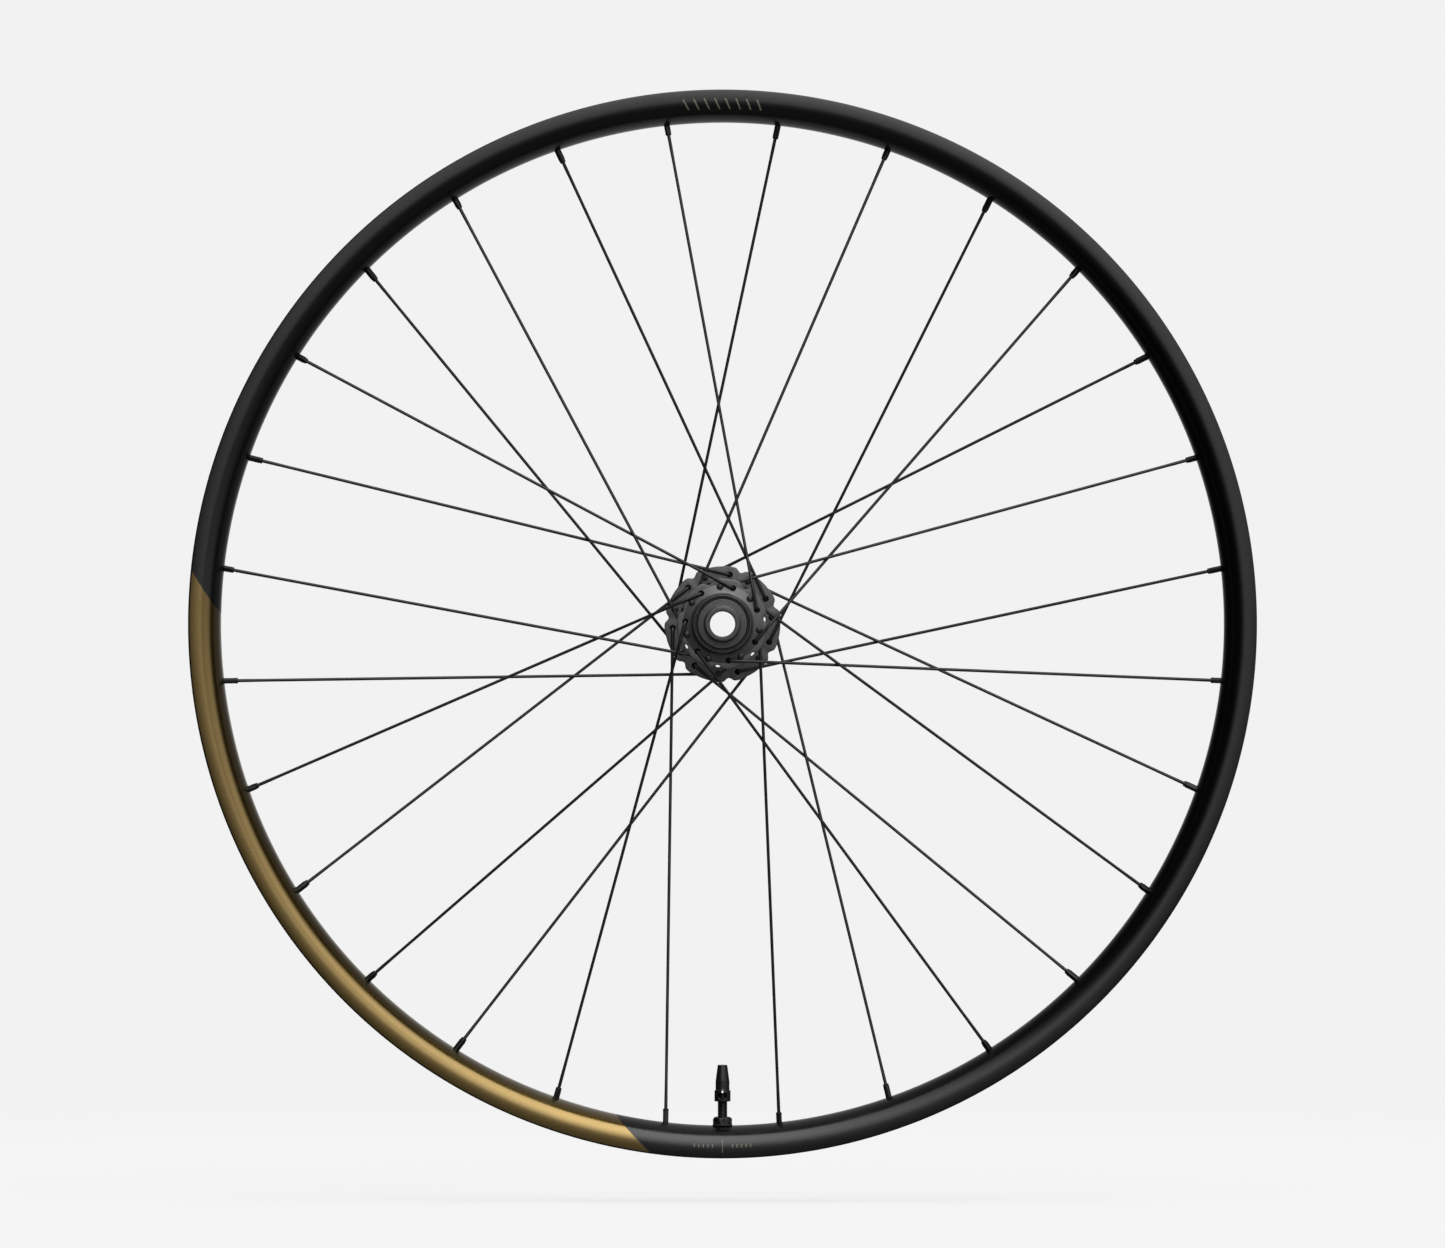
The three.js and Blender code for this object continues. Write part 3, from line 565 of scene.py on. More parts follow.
def turned_metal(
        name, base, second, roughness, metallic, pitch=0.00022, relief=0.000012, valve=False, **rest):
    """Metal with the fine rings that a lathe leaves, round the axle or round the valve."""
    shader = Shader(name)
    position = shader.position()
    if valve:
        travel = shader.dot(position, (0, 0, 1))
    else:
        travel = shader.math("ADD", shader.length(position, ACROSS_AXLE), shader.dot(position, ALONG_AXLE))
    rings = shader.math("SINE", shader.math("MULTIPLY", travel, 2 * math.pi / pitch))
    uneven = shader.noise(700, 3)
    tone = shader.noise(45, 5)
    shader.set(Base_Color=shader.mix(tone, base, second), Metallic=metallic, **rest)
    shader.set(Roughness=shader.between(shader.noise(160, 5), 0.3, 0.72, *roughness))
    shader.bump(shader.math("MULTIPLY", rings, uneven), relief, 0.6)
    return shader.material


def raw_carbon():
    """Bare moulded carbon inside the tyre channel and the hollow: long fibres with a dull resin skin."""
    shader = Shader("raw_carbon")
    radius, angle = paint_coordinates(shader)
    fibres = shader.node("ShaderNodeCombineXYZ")
    height = shader.dot(shader.position(), ALONG_AXLE)
    for socket, coordinate, stretch in zip(fibres.inputs, (angle, radius, height), (0.08, 14.0, 14.0)):
        shader.link(shader.math("MULTIPLY", coordinate, stretch), socket)
    streaks = shader.noise(180, 4, 0.6, fibres.outputs[0])
    shader.set(Base_Color=shader.mix(streaks, grey(0.011), grey(0.03)), IOR=1.5)
    shader.set(Roughness=shader.between(streaks, 0.3, 0.7, 0.42, 0.6))
    shader.bump(streaks, 0.00005, 0.5)
    return shader.material


def tape_film():
    """Tubeless tape: a smooth dark film with the rim's fibres and small creases showing through."""
    shader = Shader("tape_film")
    creases = shader.noise(150, 6, 0.7)
    clouds = shader.noise(24, 3)
    shader.set(Base_Color=shader.mix(clouds, (0.03, 0.031, 0.034, 1), (0.05, 0.052, 0.058, 1)), IOR=1.48)
    shader.set(Roughness=shader.between(creases, 0.3, 0.7, 0.24, 0.42))
    shader.bump(creases, 0.00012, 0.35)
    return shader.material


def coated_wire():
    """Drawn steel with a thin black coating: faint streaks and a soft sheen."""
    shader = Shader("coated_wire")
    speckle = shader.noise(1500, 3)
    tone = shader.noise(70, 4)
    shader.set(Base_Color=shader.mix(tone, grey(0.014), grey(0.022)), Metallic=0.4, IOR=1.55)
    shader.set(Roughness=shader.between(speckle, 0.3, 0.7, 0.26, 0.38))
    shader.bump(speckle, 0.00001, 0.5)
    return shader.material


RIM_PAINT = rim_paint()
RAW_CARBON = raw_carbon()
TAPE_FILM = tape_film()
HUB_ANODISED = plain(
    "hub_anodised", grey(0.10, -0.01), grey(0.12, -0.01), (0.34, 0.44), 0.75, 85, 0.00002, 2600, IOR=1.5
)
TURNED_BLACK = turned_metal("turned_black", grey(0.078, -0.01), grey(0.095, -0.01), (0.30, 0.40), 0.75)
SLEEVE_ALLOY = turned_metal("sleeve_alloy", grey(0.10), grey(0.14), (0.26, 0.36), 0.9)
WIRE = coated_wire()
NIPPLE_ALLOY = plain("nipple_alloy", grey(0.014), grey(0.022), (0.24, 0.36), 0.7, 300, 0.00001, 2200)
VALVE_ALLOY = turned_metal(
    "valve_alloy", grey(0.010), grey(0.015), (0.2, 0.3), 0.3, 0.00018, 0.000006, valve=True, IOR=1.5
)
GROUND_STEEL = turned_metal("ground_steel", grey(0.50), grey(0.62), (0.14, 0.24), 1.0, 0.00011, 0.000006)
POLISHED_BALL = plain("polished_ball", grey(0.66), grey(0.72), (0.05, 0.1), 1.0, 200, 0.000001, 900)
CAGE_NYLON = plain(
    "cage_nylon", (0.10, 0.055, 0.025, 1), (0.14, 0.08, 0.04, 1), (0.42, 0.55), 0.0, 120, 0.00002, 900
)
# Painted shade: a near-black material on the bearing seats and the mouths in front of them, which darkens the
# groove round each end cap.
PAINTED_SHADE_SEAT = plain("painted_shade_seat", grey(0.004), grey(0.008), (0.3, 0.5), 0.0, 200, 0.00001, 1200)
RUBBER = plain("moulded_rubber", grey(0.012), grey(0.02), (0.55, 0.72), 0.0, 150, 0.00003, 1400)
BARE_ALLOY = plain("bare_alloy", grey(0.72), grey(0.8), (0.25, 0.4), 1.0, 500, 0.000004, 4000)
BRASS = turned_metal(
    "turned_brass", (0.52, 0.35, 0.12, 1), (0.60, 0.43, 0.17, 1), (0.2, 0.32), 1.0, 0.0002, 0.000008, True
)

# ------------------------------------------------------------------ spokes and nipples


def spoke_line(flange, lobe, turn):
    """Where one spoke runs. turn is 1 for a spoke that leads anticlockwise, and -1 for clockwise."""
    lobe_angle = flange["first_lobe"] + lobe * LOBE_PITCH
    hole = on_circle(flange["hole_r"], lobe_angle - turn * flange["spread"])
    nipple_angle = lobe_angle + turn * NIPPLE_LEAD
    seat = on_circle(NIPPLE_SEAT_R, nipple_angle)
    length, along = (seat - hole).length, (seat - hole).normalized()
    foot_at = -hole.dot(along)
    foot = hole + along * foot_at
    foot_angle = math.degrees(math.atan2(foot.z, foot.x))
    lead = (turn * (lobe_angle - foot_angle)) % 360
    half_angle = LOBES_TO_LAST_CROSSING * LOBE_PITCH / 2 + lead
    crossing_at = foot_at + foot.length * math.tan(math.radians(half_angle))
    edge_at = foot_at + math.sqrt(flange["lobe_r"] ** 2 - foot.length_squared) + 1

    outside = (turn > 0) == flange["acw_outside"]
    run_side = flange["outward"] if outside else -flange["outward"]
    crossing = hole + along * crossing_at
    crossing.y = flange["y"] * (1 - crossing_at / length) - run_side * CROSSING_OFFSET
    edge, elbow, head = hole + along * edge_at, hole.copy(), hole.copy()
    edge.y = elbow.y = flange["y"] + run_side * (FLANGE_HALF_THICKNESS + ELBOW_LIFT + SPOKE_END_R)
    head.y = flange["y"] - run_side * (FLANGE_HALF_THICKNESS + HEAD_GAP + HEAD_THICKNESS)
    return {
        "flange": flange, "head": head, "elbow": elbow, "edge": edge, "crossing": crossing, "seat": seat,
        "outside": outside, "angle": nipple_angle, "hole": hole, "axis": (seat - crossing).normalized(),
    }


HEAD_PROFILE = [  # distance from the top of a spoke's head, and radius there
    (0.0, 0.35), (0.03, 0.75), (0.1, 1.15), (0.24, 1.55), (0.45, 1.86), (0.7, 2.04), (0.95, 2.08),
    (1.12, 2.0), (1.25, 1.75), (1.4, 1.25), (1.6, 1.04), (2.0, SPOKE_END_R),
]
FIRST_BUTT = (17, 33)  # distances from the head where the spoke thins
LAST_BUTT = (25, 19)  # distances from the nipple seat where it thickens again
SPOKE_TIP = 5  # the spoke ends this far short of the nipple seat


def subdivided(path, spacing):
    """The same path with a point at least every spacing millimetres."""
    dense = [path[0]]
    for before, after in zip(path, path[1:]):
        parts = max(1, math.ceil((after - before).length / spacing))
        dense.extend(before.lerp(after, i / parts) for i in range(1, parts + 1))
    return dense


def spoke_mesh(line):
    run = (line["elbow"] - line["head"]).normalized()
    corners = [(line["head"] + run * HEAD_PROFILE[-1][0], 0), (line["elbow"], ELBOW_R)]
    if line["outside"]:
        corners.append((line["edge"], 14))
    corners += [(line["crossing"], 60), (line["seat"] - line["axis"] * SPOKE_TIP, 0)]
    path = [line["head"] + run * distance for distance, _ in HEAD_PROFILE[:-1]]
    path += subdivided(rounded_path(corners, 8), 6)
    total = sum((b - a).length for a, b in zip(path, path[1:])) + SPOKE_TIP
    radii = HEAD_PROFILE + [
        (FIRST_BUTT[0], SPOKE_END_R), (FIRST_BUTT[1], SPOKE_MID_R), (total - LAST_BUTT[0], SPOKE_MID_R),
        (total - LAST_BUTT[1], SPOKE_END_R), (total, SPOKE_END_R),
    ]
    return tube_mesh(path, lambda distance, turn: interpolate(radii, distance), 16)


NIPPLE_FLAT = 1.64  # half of the width across the flats
NIPPLE_CORNER_R = 1.98
NIPPLE_COLLAR_R = 1.95
NIPPLE_TIP_R = 1.72


def nipple_mesh(shank):
    """A nipple about +Y with its seat at zero: a round tip, a square body, a collar and a slotted head."""
    tip = [(-shank, 1.12), (-shank, 1.5), (-shank + 0.25, NIPPLE_TIP_R), (-shank + 1.5, NIPPLE_TIP_R)]
    body = [(-shank + 1.7, NIPPLE_CORNER_R), (-3.2, NIPPLE_CORNER_R)]
    collar = [(-3.0, NIPPLE_COLLAR_R), (-0.5, NIPPLE_COLLAR_R)]
    head = [(0.0, 2.15), (0.7, 2.8), (1.1, 2.88), (1.6, 2.75), (2.1, 2.2), (2.3, 1.3)]
    profile = tip + body + collar + head
    sides = 32
    vertices = []
    for y, radius in profile:
        for side in range(sides):
            turn = 360 * (side + 0.5) / sides
            reach = max(abs(math.cos(math.radians(turn))), abs(math.sin(math.radians(turn))))
            spread = min(radius, NIPPLE_FLAT / reach) if (y, radius) in body else radius
            vertices.append(on_circle(spread, turn, y))
    return outward_faces((vertices, capped_faces(len(profile), sides)))


def box_mesh(low, high):
    xs, ys, zs = zip(low, high)
    vertices = [Vector((x, y, z)) for x in xs for y in ys for z in zs]
    faces = [(0, 1, 3, 2), (4, 6, 7, 5), (0, 4, 5, 1), (2, 3, 7, 6), (0, 2, 6, 4), (1, 5, 7, 3)]
    return vertices, faces


def nipple_data(flange):
    """A nipple's mesh with its screwdriver slot cut, shared by a flange's fourteen nipples."""
    nipple = make("nipple_pattern", *nipple_mesh(flange["shank"]), NIPPLE_ALLOY)
    slot = make("slot_cutter", *box_mesh((-0.5, 1.3, -4), (0.5, 4, 4)))
    apply_boolean(nipple, "DIFFERENCE", slot)
    data = nipple.data
    bpy.data.objects.remove(nipple)
    return data


def make_spokes():
    lines = [spoke_line(flange, lobe, turn) for flange in (RIGHT_FLANGE, LEFT_FLANGE)
             for lobe in range(LOBES) for turn in (1, -1)]
    lines.sort(key=lambda line: (line["angle"] - VALVE_ANGLE) % 360)
    patterns = {id(flange): nipple_data(flange) for flange in (RIGHT_FLANGE, LEFT_FLANGE)}
    for number, line in enumerate(lines, 1):
        node = f"spoke_{number:02d}"
        wire = make(f"spoke_wire_{number:02d}", *spoke_mesh(line), WIRE)
        place(wire, "wheel", "spoke_steel", node)
        nipple = bpy.data.objects.new(f"nipple_{number:02d}", patterns[id(line["flange"])])
        bpy.context.scene.collection.objects.link(nipple)
        turn = Vector((0, 1, 0)).rotation_difference(line["axis"]).to_matrix().to_4x4()
        nipple.matrix_world = Matrix.Translation(line["seat"] * MM) @ turn
        place(nipple, "wheel", "spoke_steel", node)
    return lines


# ------------------------------------------------------------------ rim and tape

RIM_SEGMENTS = SPOKES * 16
RIM_EDGE = 1.2  # the rounded edge of the hooks
WIDEST_R = RIM_R - 6.4  # the rim is widest here, a little inside its hooks
SIDE_FALL = 0.6  # and this much narrower at its edge, on each side
WALL_POWER = 2.1  # up to there each side is a quarter of a superellipse
WALL_STEPS = 30
HOOK_STEPS = 6


def mirrored(half, on_both=0):
    """A whole section from its +Y half. The ends of a half that starts on the middle aren't repeated."""
    return [(radius, -y) for radius, y in half] + [(radius, y) for radius, y in reversed(half[on_both:-1])]


def rim_section():
    """The rim's outline: the spoke bed and side walls as one curve, then the hooks and the tyre channel."""
    wall = []
    for step in range(WALL_STEPS + 1):
        turn = math.radians(90 * step / WALL_STEPS)
        inwards = max(math.cos(turn), 0) ** (2 / WALL_POWER)
        outwards = math.sin(turn) ** (2 / WALL_POWER)
        wall.append((WIDEST_R - (WIDEST_R - SPOKE_BED_R) * inwards, RIM_HALF_WIDTH * outwards))
    hook = RIM_R - RIM_EDGE - WIDEST_R
    for step in range(1, HOOK_STEPS + 1):
        out = hook * step / HOOK_STEPS
        wall.append((WIDEST_R + out, RIM_HALF_WIDTH - SIDE_FALL * (out / (RIM_R - WIDEST_R)) ** 2))
    channel = fillet(
        [
            wall[-1], (RIM_R, RIM_HALF_WIDTH - SIDE_FALL, RIM_EDGE), (RIM_R, CHANNEL_HALF_WIDTH, 0.9),
            (BEAD_SEAT_R, CHANNEL_HALF_WIDTH, 1.1), (BEAD_SEAT_R - 0.35, 11.2, 0.6),
            (BEAD_SEAT_R + 0.1, 10.4, 0.6), (BEAD_SEAT_R - 0.3, 9.3, 0.8), (WELL_R, 6.2, 1.6), (WELL_R, 0),
        ],
        steps=5,
        closed=False,
    )
    half = wall[1:-1] + channel
    return mirrored([wall[0], *half], 1), len(wall)


def cavity_section():
    half = fillet(
        [
            (SPOKE_BED_R + SPOKE_BED_WALL, 0), (SPOKE_BED_R + SPOKE_BED_WALL + 0.2, 7, 4),
            (SPOKE_BED_R + 6.8, 13.3, 3), (BEAD_SEAT_R - 1.9, 14.6, 1.2), (BEAD_SEAT_R - 2.1, 10.4, 1.5),
            (WELL_R - 1.5, 6.6, 1.5), (WELL_R - 1.5, 0),
        ],
        steps=3,
        closed=False,
    )
    return mirrored(half, 1)


def drill(radius, from_y, to_y, flare, sides=24):
    """A drill about +Y whose near end flares, so that it leaves a chamfer."""
    return solid_mesh(
        [(0, from_y), (radius + flare, from_y), (radius + flare, from_y + 1.5),
         (radius, from_y + 1.5 + flare), (radius, to_y), (0, to_y)],
        sides,
    )


NIPPLE_HOLE_R = 2.35
ACCESS_HOLE_R = 4.2
VALVE_HOLE_R = 3.3


def make_rim(lines):
    section, wall_points = rim_section()
    rim = make("rim", *ring_mesh(section, RIM_SEGMENTS), RIM_PAINT, RAW_CARBON)
    count = len(section)
    painted = wall_points + 12  # the wall and the outside of the hook, counted from the middle of the bed
    for face in rim.data.polygons:
        column = face.index % count
        face.material_index = 0 if min(column, count - 1 - column) < painted else 1
    cavity = make("rim_cavity", *ring_mesh(cavity_section(), RIM_SEGMENTS), RIM_PAINT, RAW_CARBON)
    cutters = []
    for line in lines:
        cutters.append(along_axis(drill(NIPPLE_HOLE_R, -6.2, 1.5, 0.35), line["seat"], line["axis"]))
        outwards = line["seat"].normalized()
        cutters.append(along_axis(drill(ACCESS_HOLE_R, 2.6, 12, 0), line["seat"], outwards))
    valve = drill(VALVE_HOLE_R, -2.1, 15, 0.5, 32)
    cutters.append(along_axis(valve, on_circle(SPOKE_BED_R, VALVE_ANGLE), on_circle(1, VALVE_ANGLE)))
    holes = merged("rim_holes", cutters, RIM_PAINT, RAW_CARBON)
    apply_boolean(rim, "DIFFERENCE", take_second_material(cavity), take_second_material(holes))
    return place(rim, "wheel", "carbon", "rim")


TAPE_LIFT = 0.12
TAPE_THICKNESS = 0.35
OVERLAP = 13.0  # the length of the overlap, in degrees round the wheel
OVERLAP_ROWS = 40


def tape_section(lift):
    """The tape's section, lying over the bead seats and down into the well."""
    route = [
        (BEAD_SEAT_R + 0.1, 14.6), (BEAD_SEAT_R, 12.4), (BEAD_SEAT_R + 0.12, 10.4), (BEAD_SEAT_R - 0.2, 9.0),
        (WELL_R + 0.3, 6.0), (WELL_R, 3.4), (WELL_R, 0),
    ]
    under = mirrored(smooth_curve([(radius + lift, y) for radius, y in route], 4))
    over = mirrored(smooth_curve([(radius + lift + TAPE_THICKNESS, y * 0.995) for radius, y in route], 4))
    return under + over[::-1]


def make_tape():
    """One turn of tape, and the short stretch at the valve where its end overlaps its start."""
    tape = make("rim_tape", *ring_mesh(tape_section(TAPE_LIFT), RIM_SEGMENTS), TAPE_FILM)
    reach = drill(VALVE_HOLE_R, -2, 18, 0, 32)
    at_hole = along_axis(reach, on_circle(SPOKE_BED_R, VALVE_ANGLE), on_circle(1, VALVE_ANGLE))
    apply_boolean(tape, "DIFFERENCE", make("tape_hole", *at_hole))
    place(tape, "wheel", "tape", "rim_tape")

    section = tape_section(TAPE_LIFT + TAPE_THICKNESS + 0.02)
    vertices = []
    for row in range(OVERLAP_ROWS):
        angle = VALVE_ANGLE + 3.0 + OVERLAP * row / (OVERLAP_ROWS - 1)
        vertices.extend(on_circle(radius, angle, y) for radius, y in section)
    overlap = make("rim_tape_overlap", vertices, capped_faces(OVERLAP_ROWS, len(section)), TAPE_FILM)
    place(overlap, "wheel", "tape", "rim_tape")


# ------------------------------------------------------------------ hub


def flange_outline(flange, inset):
    """Seven lobes with a rounded notch between each two, slightly fuller at each spoke hole."""
    outline = []
    count = 420
    for j in range(count):
        angle = 360 * j / count
        from_lobe = (angle - flange["first_lobe"] + LOBE_PITCH / 2) % LOBE_PITCH - LOBE_PITCH / 2
        from_notch = (LOBE_PITCH / 2 - abs(from_lobe)) / flange["notch_half"]
        from_hole = abs(abs(from_lobe) - flange["spread"]) / 7
        radius = flange["lobe_r"] - inset
        if from_notch < 1:
            depth = flange["lobe_r"] - flange["notch_r"]
            radius -= depth * (0.5 + 0.5 * math.cos(math.pi * from_notch))
        if from_hole < 1:
            radius += 0.25 * (0.5 + 0.5 * math.cos(math.pi * from_hole))
        point = on_circle(radius, angle)
        outline.append((point.x, point.z))
    return outline


def rounded_levels(low, high, edge, steps=4):
    """(y, inset) pairs up a plate's edge, with both of its corners rounded."""
    levels = []
    for step in range(steps + 1):
        turn = math.radians(90 * step / steps)
        levels.append((low + edge * (1 - math.sin(turn)), edge * (1 - math.cos(turn))))
    lower = levels[::-1]
    return lower + [(low + high - y, inset) for y, inset in reversed(lower)]


def flange_mesh(flange):
    levels = rounded_levels(flange["y"] - FLANGE_HALF_THICKNESS, flange["y"] + FLANGE_HALF_THICKNESS, 0.5)
    levels.sort()
    return sleeve_mesh(lambda level: (level[0], flange_outline(flange, level[1])), levels)


def star_outline(inset):
    """The rotor seat's six arms, with filleted roots and rounded ends."""
    corners = []
    half_width = ROTOR_ARM_HALF_WIDTH - inset
    root, tip = 18.6 - inset, ROTOR_ARM_R - inset
    for arm in range(6):
        for along, across, radius in ((root, -half_width, 1.6), (tip, -half_width, 3.6),
                                      (tip, half_width, 3.6), (root, half_width, 1.6)):
            point = Matrix.Rotation(math.radians(ROTOR_FIRST_ARM + 60 * arm), 2) @ Vector((along, across))
            corners.append((point.x, point.y, radius))
    return fillet(corners, steps=8)


def star_mesh():
    levels = sorted(rounded_levels(ROTOR_SEAT_Y - ROTOR_ARM_THICKNESS, ROTOR_SEAT_Y, 0.45))
    return sleeve_mesh(lambda level: (level[0], star_outline(level[1])), levels)


HUB_SEGMENTS = 144
HUB_BORE_R = 10.8
BEARING_SEAT_R = 15.02
SPOKE_HOLE_R = 1.45
ROTOR_BOLT_CIRCLE_R = 22
ROTOR_BOLT = {"major": 2.5, "minor": 2.1, "pitch": 0.8}
TRENCH_BEHIND = 1.6  # how far the groove round each bearing reaches behind the bearing's face


def barrel_profile():
    """The shell's outside, from the right end to the left, with coves where the flanges stand."""
    right, left = RIGHT_FLANGE["y"], LEFT_FLANGE["y"]
    rotor_back = ROTOR_SEAT_Y - ROTOR_ARM_THICKNESS
    right_end = [
        (0, -RIGHT_END["shell_end"]), (16.95, -RIGHT_END["shell_end"], 0.15), (17.6, right - 3.1, 3.0),
        (23.4, right - 1.62, 0.3), (23.4, right, 0.4), (19.0, right + 1.7, 0.9), (17.7, right + 3.6, 1.6),
    ]
    waist = [(13.6, right + 13, 9), (13.2, left - 21, 9), (18.2, left - 5.2, 5)]
    left_end = [
        (22.0, left - 1.7, 2.0), (22, left, 0.2), (22.0, left + 1.8, 1.6), (19.0, left + 5.2, 2.2),
        (18.2, rotor_back - 1, 1.2), (19.2, rotor_back + 1, 0.5), (19.2, ROTOR_SEAT_Y - 0.01, 0.2),
        (17.4, ROTOR_SEAT_Y - 0.01, 0.25), (17.4, LEFT_END["shell_end"], 0.5), (0, LEFT_END["shell_end"]),
    ]
    return fillet(right_end + waist + left_end, steps=6, closed=False)


def bearing_seat(end):
    """The hole for a bearing and the mouth in front of it, as a cutter."""
    back = end["face"] - BEARING_WIDTH - 0.1
    trench = end["face"] - TRENCH_BEHIND
    mouth_r, mouth = end["mouth_r"], end["shell_end"]
    lip_r = mouth_r + 0.12
    profile = [
        (0, back), (BEARING_SEAT_R, back), (BEARING_SEAT_R, trench), (mouth_r, trench),
        (mouth_r, mouth - 0.12), (lip_r, mouth), (lip_r, mouth + 1), (0, mouth + 1),
    ]
    if end["sign"] > 0:
        return solid_mesh(profile, HUB_SEGMENTS)
    return solid_mesh([(radius, -y) for radius, y in reversed(profile)], HUB_SEGMENTS)


def spool(radius, low, high, flare):
    """A cutter about Y that chamfers both ends of the hole that it makes."""
    return solid_mesh(
        [(0, low - 2), (radius + flare, low - 2), (radius + flare, low - 0.01), (radius, low + flare),
         (radius, high - flare), (radius + flare, high + 0.01), (radius + flare, high + 2), (0, high + 2)],
        24,
    )


ROWS_PER_PITCH = 8


def screw_mesh(major, minor, pitch, start, end, sides, ramp):
    """A threaded rod about Y. ramp is the length over which the thread starts and runs out."""
    rows = round((end - start) / pitch * ROWS_PER_PITCH) + 1
    vertices = []
    for row in range(rows):
        y = start + (end - start) * row / (rows - 1)
        fade = min(1.0, (y - start) / ramp, (end - y) / ramp)
        for side in range(sides):
            phase = ((y - start) / pitch - side / sides) % 1
            tooth = 1 - abs(2 * phase - 1)
            crest = min(1.0, max(0.0, 1.35 * tooth - 0.1))
            radius = minor + (major - minor) * crest * fade
            vertices.append(on_circle(radius, 360 * side / sides, y))
    return outward_faces((vertices, capped_faces(rows, sides)))


def make_hub(lines):
    hub = make("hub_shell", *solid_mesh(barrel_profile(), HUB_SEGMENTS), HUB_ANODISED, PAINTED_SHADE_SEAT)
    additions = [
        make("right_flange", *flange_mesh(RIGHT_FLANGE)),
        make("left_flange", *flange_mesh(LEFT_FLANGE)),
        make("rotor_star", *star_mesh()),
    ]
    apply_boolean(hub, "UNION", *additions)

    holes = []
    for line in lines:
        y = line["flange"]["y"]
        hole = spool(SPOKE_HOLE_R, y - FLANGE_HALF_THICKNESS, y + FLANGE_HALF_THICKNESS, 0.45)
        holes.append(moved(hole, Matrix.Translation((line["hole"].x, 0, line["hole"].z))))
    y = LEFT_FLANGE["y"]
    window = spool(WINDOW_R, y - FLANGE_HALF_THICKNESS, y + FLANGE_HALF_THICKNESS, 0.35)
    for lobe in range(LOBES):
        centre = on_circle(WINDOW_CIRCLE_R, LEFT_FLANGE["first_lobe"] - 3 * PITCH + lobe * LOBE_PITCH)
        holes.append(moved(window, Matrix.Translation(centre)))
    start, end = ROTOR_SEAT_Y - ROTOR_ARM_THICKNESS - 1.5, ROTOR_SEAT_Y + 1.5
    bolt = screw_mesh(**ROTOR_BOLT, start=start, end=end, sides=32, ramp=0.1)
    bolts = [moved(bolt, Matrix.Translation(on_circle(ROTOR_BOLT_CIRCLE_R, ROTOR_FIRST_ARM + 60 * arm)))
             for arm in range(6)]
    bore = [(0, -60), (HUB_BORE_R, -60), (HUB_BORE_R, 60), (0, 60)]
    cutters = [
        merged("hub_holes", holes),
        merged("rotor_threads", bolts),
        make("hub_core", *solid_mesh(bore, HUB_SEGMENTS)),
    ]
    # Each seat's cut faces take the near-black painted shade, which darkens the groove round each end cap.
    for bearing_end in (RIGHT_END, LEFT_END):
        seat = make(f"seat_{bearing_end['side']}", *bearing_seat(bearing_end), HUB_ANODISED, PAINTED_SHADE_SEAT)
        cutters.append(take_second_material(seat))
    apply_boolean(hub, "DIFFERENCE", *cutters)
    return place(hub, "wheel", "anodised_hub", "hub_shell")


def on_side(section, sign):
    """The same section on the left of the wheel, or turned over for the right."""
    if sign > 0:
        return section
    return [(point[0], -point[1], *point[2:]) for point in reversed(section)]


def make_ring(name, section, material, radius=0.15, segments=HUB_SEGMENTS, steps=3):
    return make(name, *outward_faces(ring_mesh(fillet(section, radius, steps), segments)), material)


def make_axle():
    end = AXLE_HALF_LENGTH
    section = [
        (BORE_R, -end, 0.3), (AXLE_R, -end, 0.35), (AXLE_R, -end + 9), (AXLE_R - 0.12, -end + 9.3),
        (AXLE_R - 0.12, end - 9.3), (AXLE_R, end - 9), (AXLE_R, end, 0.35), (BORE_R, end, 0.3),
    ]
    sleeve = make_ring("axle_sleeve", section, SLEEVE_ALLOY, 0.1)
    place(sleeve, "axle", "anodised_hub", "axle_sleeve")


O_RING_AT = 3.2
O_RING_GROOVE = 1.8
O_RING_GROOVE_R = 10.2


def end_cap_section(end):
    """The nose that the fork holds, a shallow groove behind it, and the skirt over the bearing."""
    face = end["face"]
    skirt, neck = face + 0.7, face + 5.6
    groove_low, groove_high = face + O_RING_AT - O_RING_GROOVE / 2, face + O_RING_AT + O_RING_GROOVE / 2
    inner_r = AXLE_R + 0.12
    return [
        (inner_r, face + 0.25, 0.1), (10.1, face + 0.25, 0.2), (10.6, skirt, 0.3), (14.6, skirt, 0.3),
        (14.7, skirt + 0.35, 0.3), (14.7, skirt + 1.9, 0.2), (14.4, skirt + 2.2, 0.2),
        (11.0, skirt + 2.2, 0.3), (10.7, skirt + 2.6, 0.3), (10.65, neck, 0.25),
        (9.6, neck + 0.1, 0.25), (9.6, neck + 0.75, 0.25), (10.2, neck + 0.9, 0.2),
        (10.2, END_FACE_Y, 0.45), (8.05, END_FACE_Y, 0.1), (BORE_R, END_FACE_Y - 0.5, 0.1),
        (BORE_R, AXLE_HALF_LENGTH + 0.15, 0.1), (inner_r, AXLE_HALF_LENGTH + 0.15, 0.2),
        (inner_r, groove_high, 0.1), (O_RING_GROOVE_R, groove_high, 0.15),
        (O_RING_GROOVE_R, groove_low, 0.15), (inner_r, groove_low, 0.1),
    ]


def torus_section(radius, thickness, y, steps=16):
    section = []
    for step in range(steps):
        turn = 2 * math.pi * step / steps
        section.append((radius + thickness * math.cos(turn), y + thickness * math.sin(turn)))
    return section


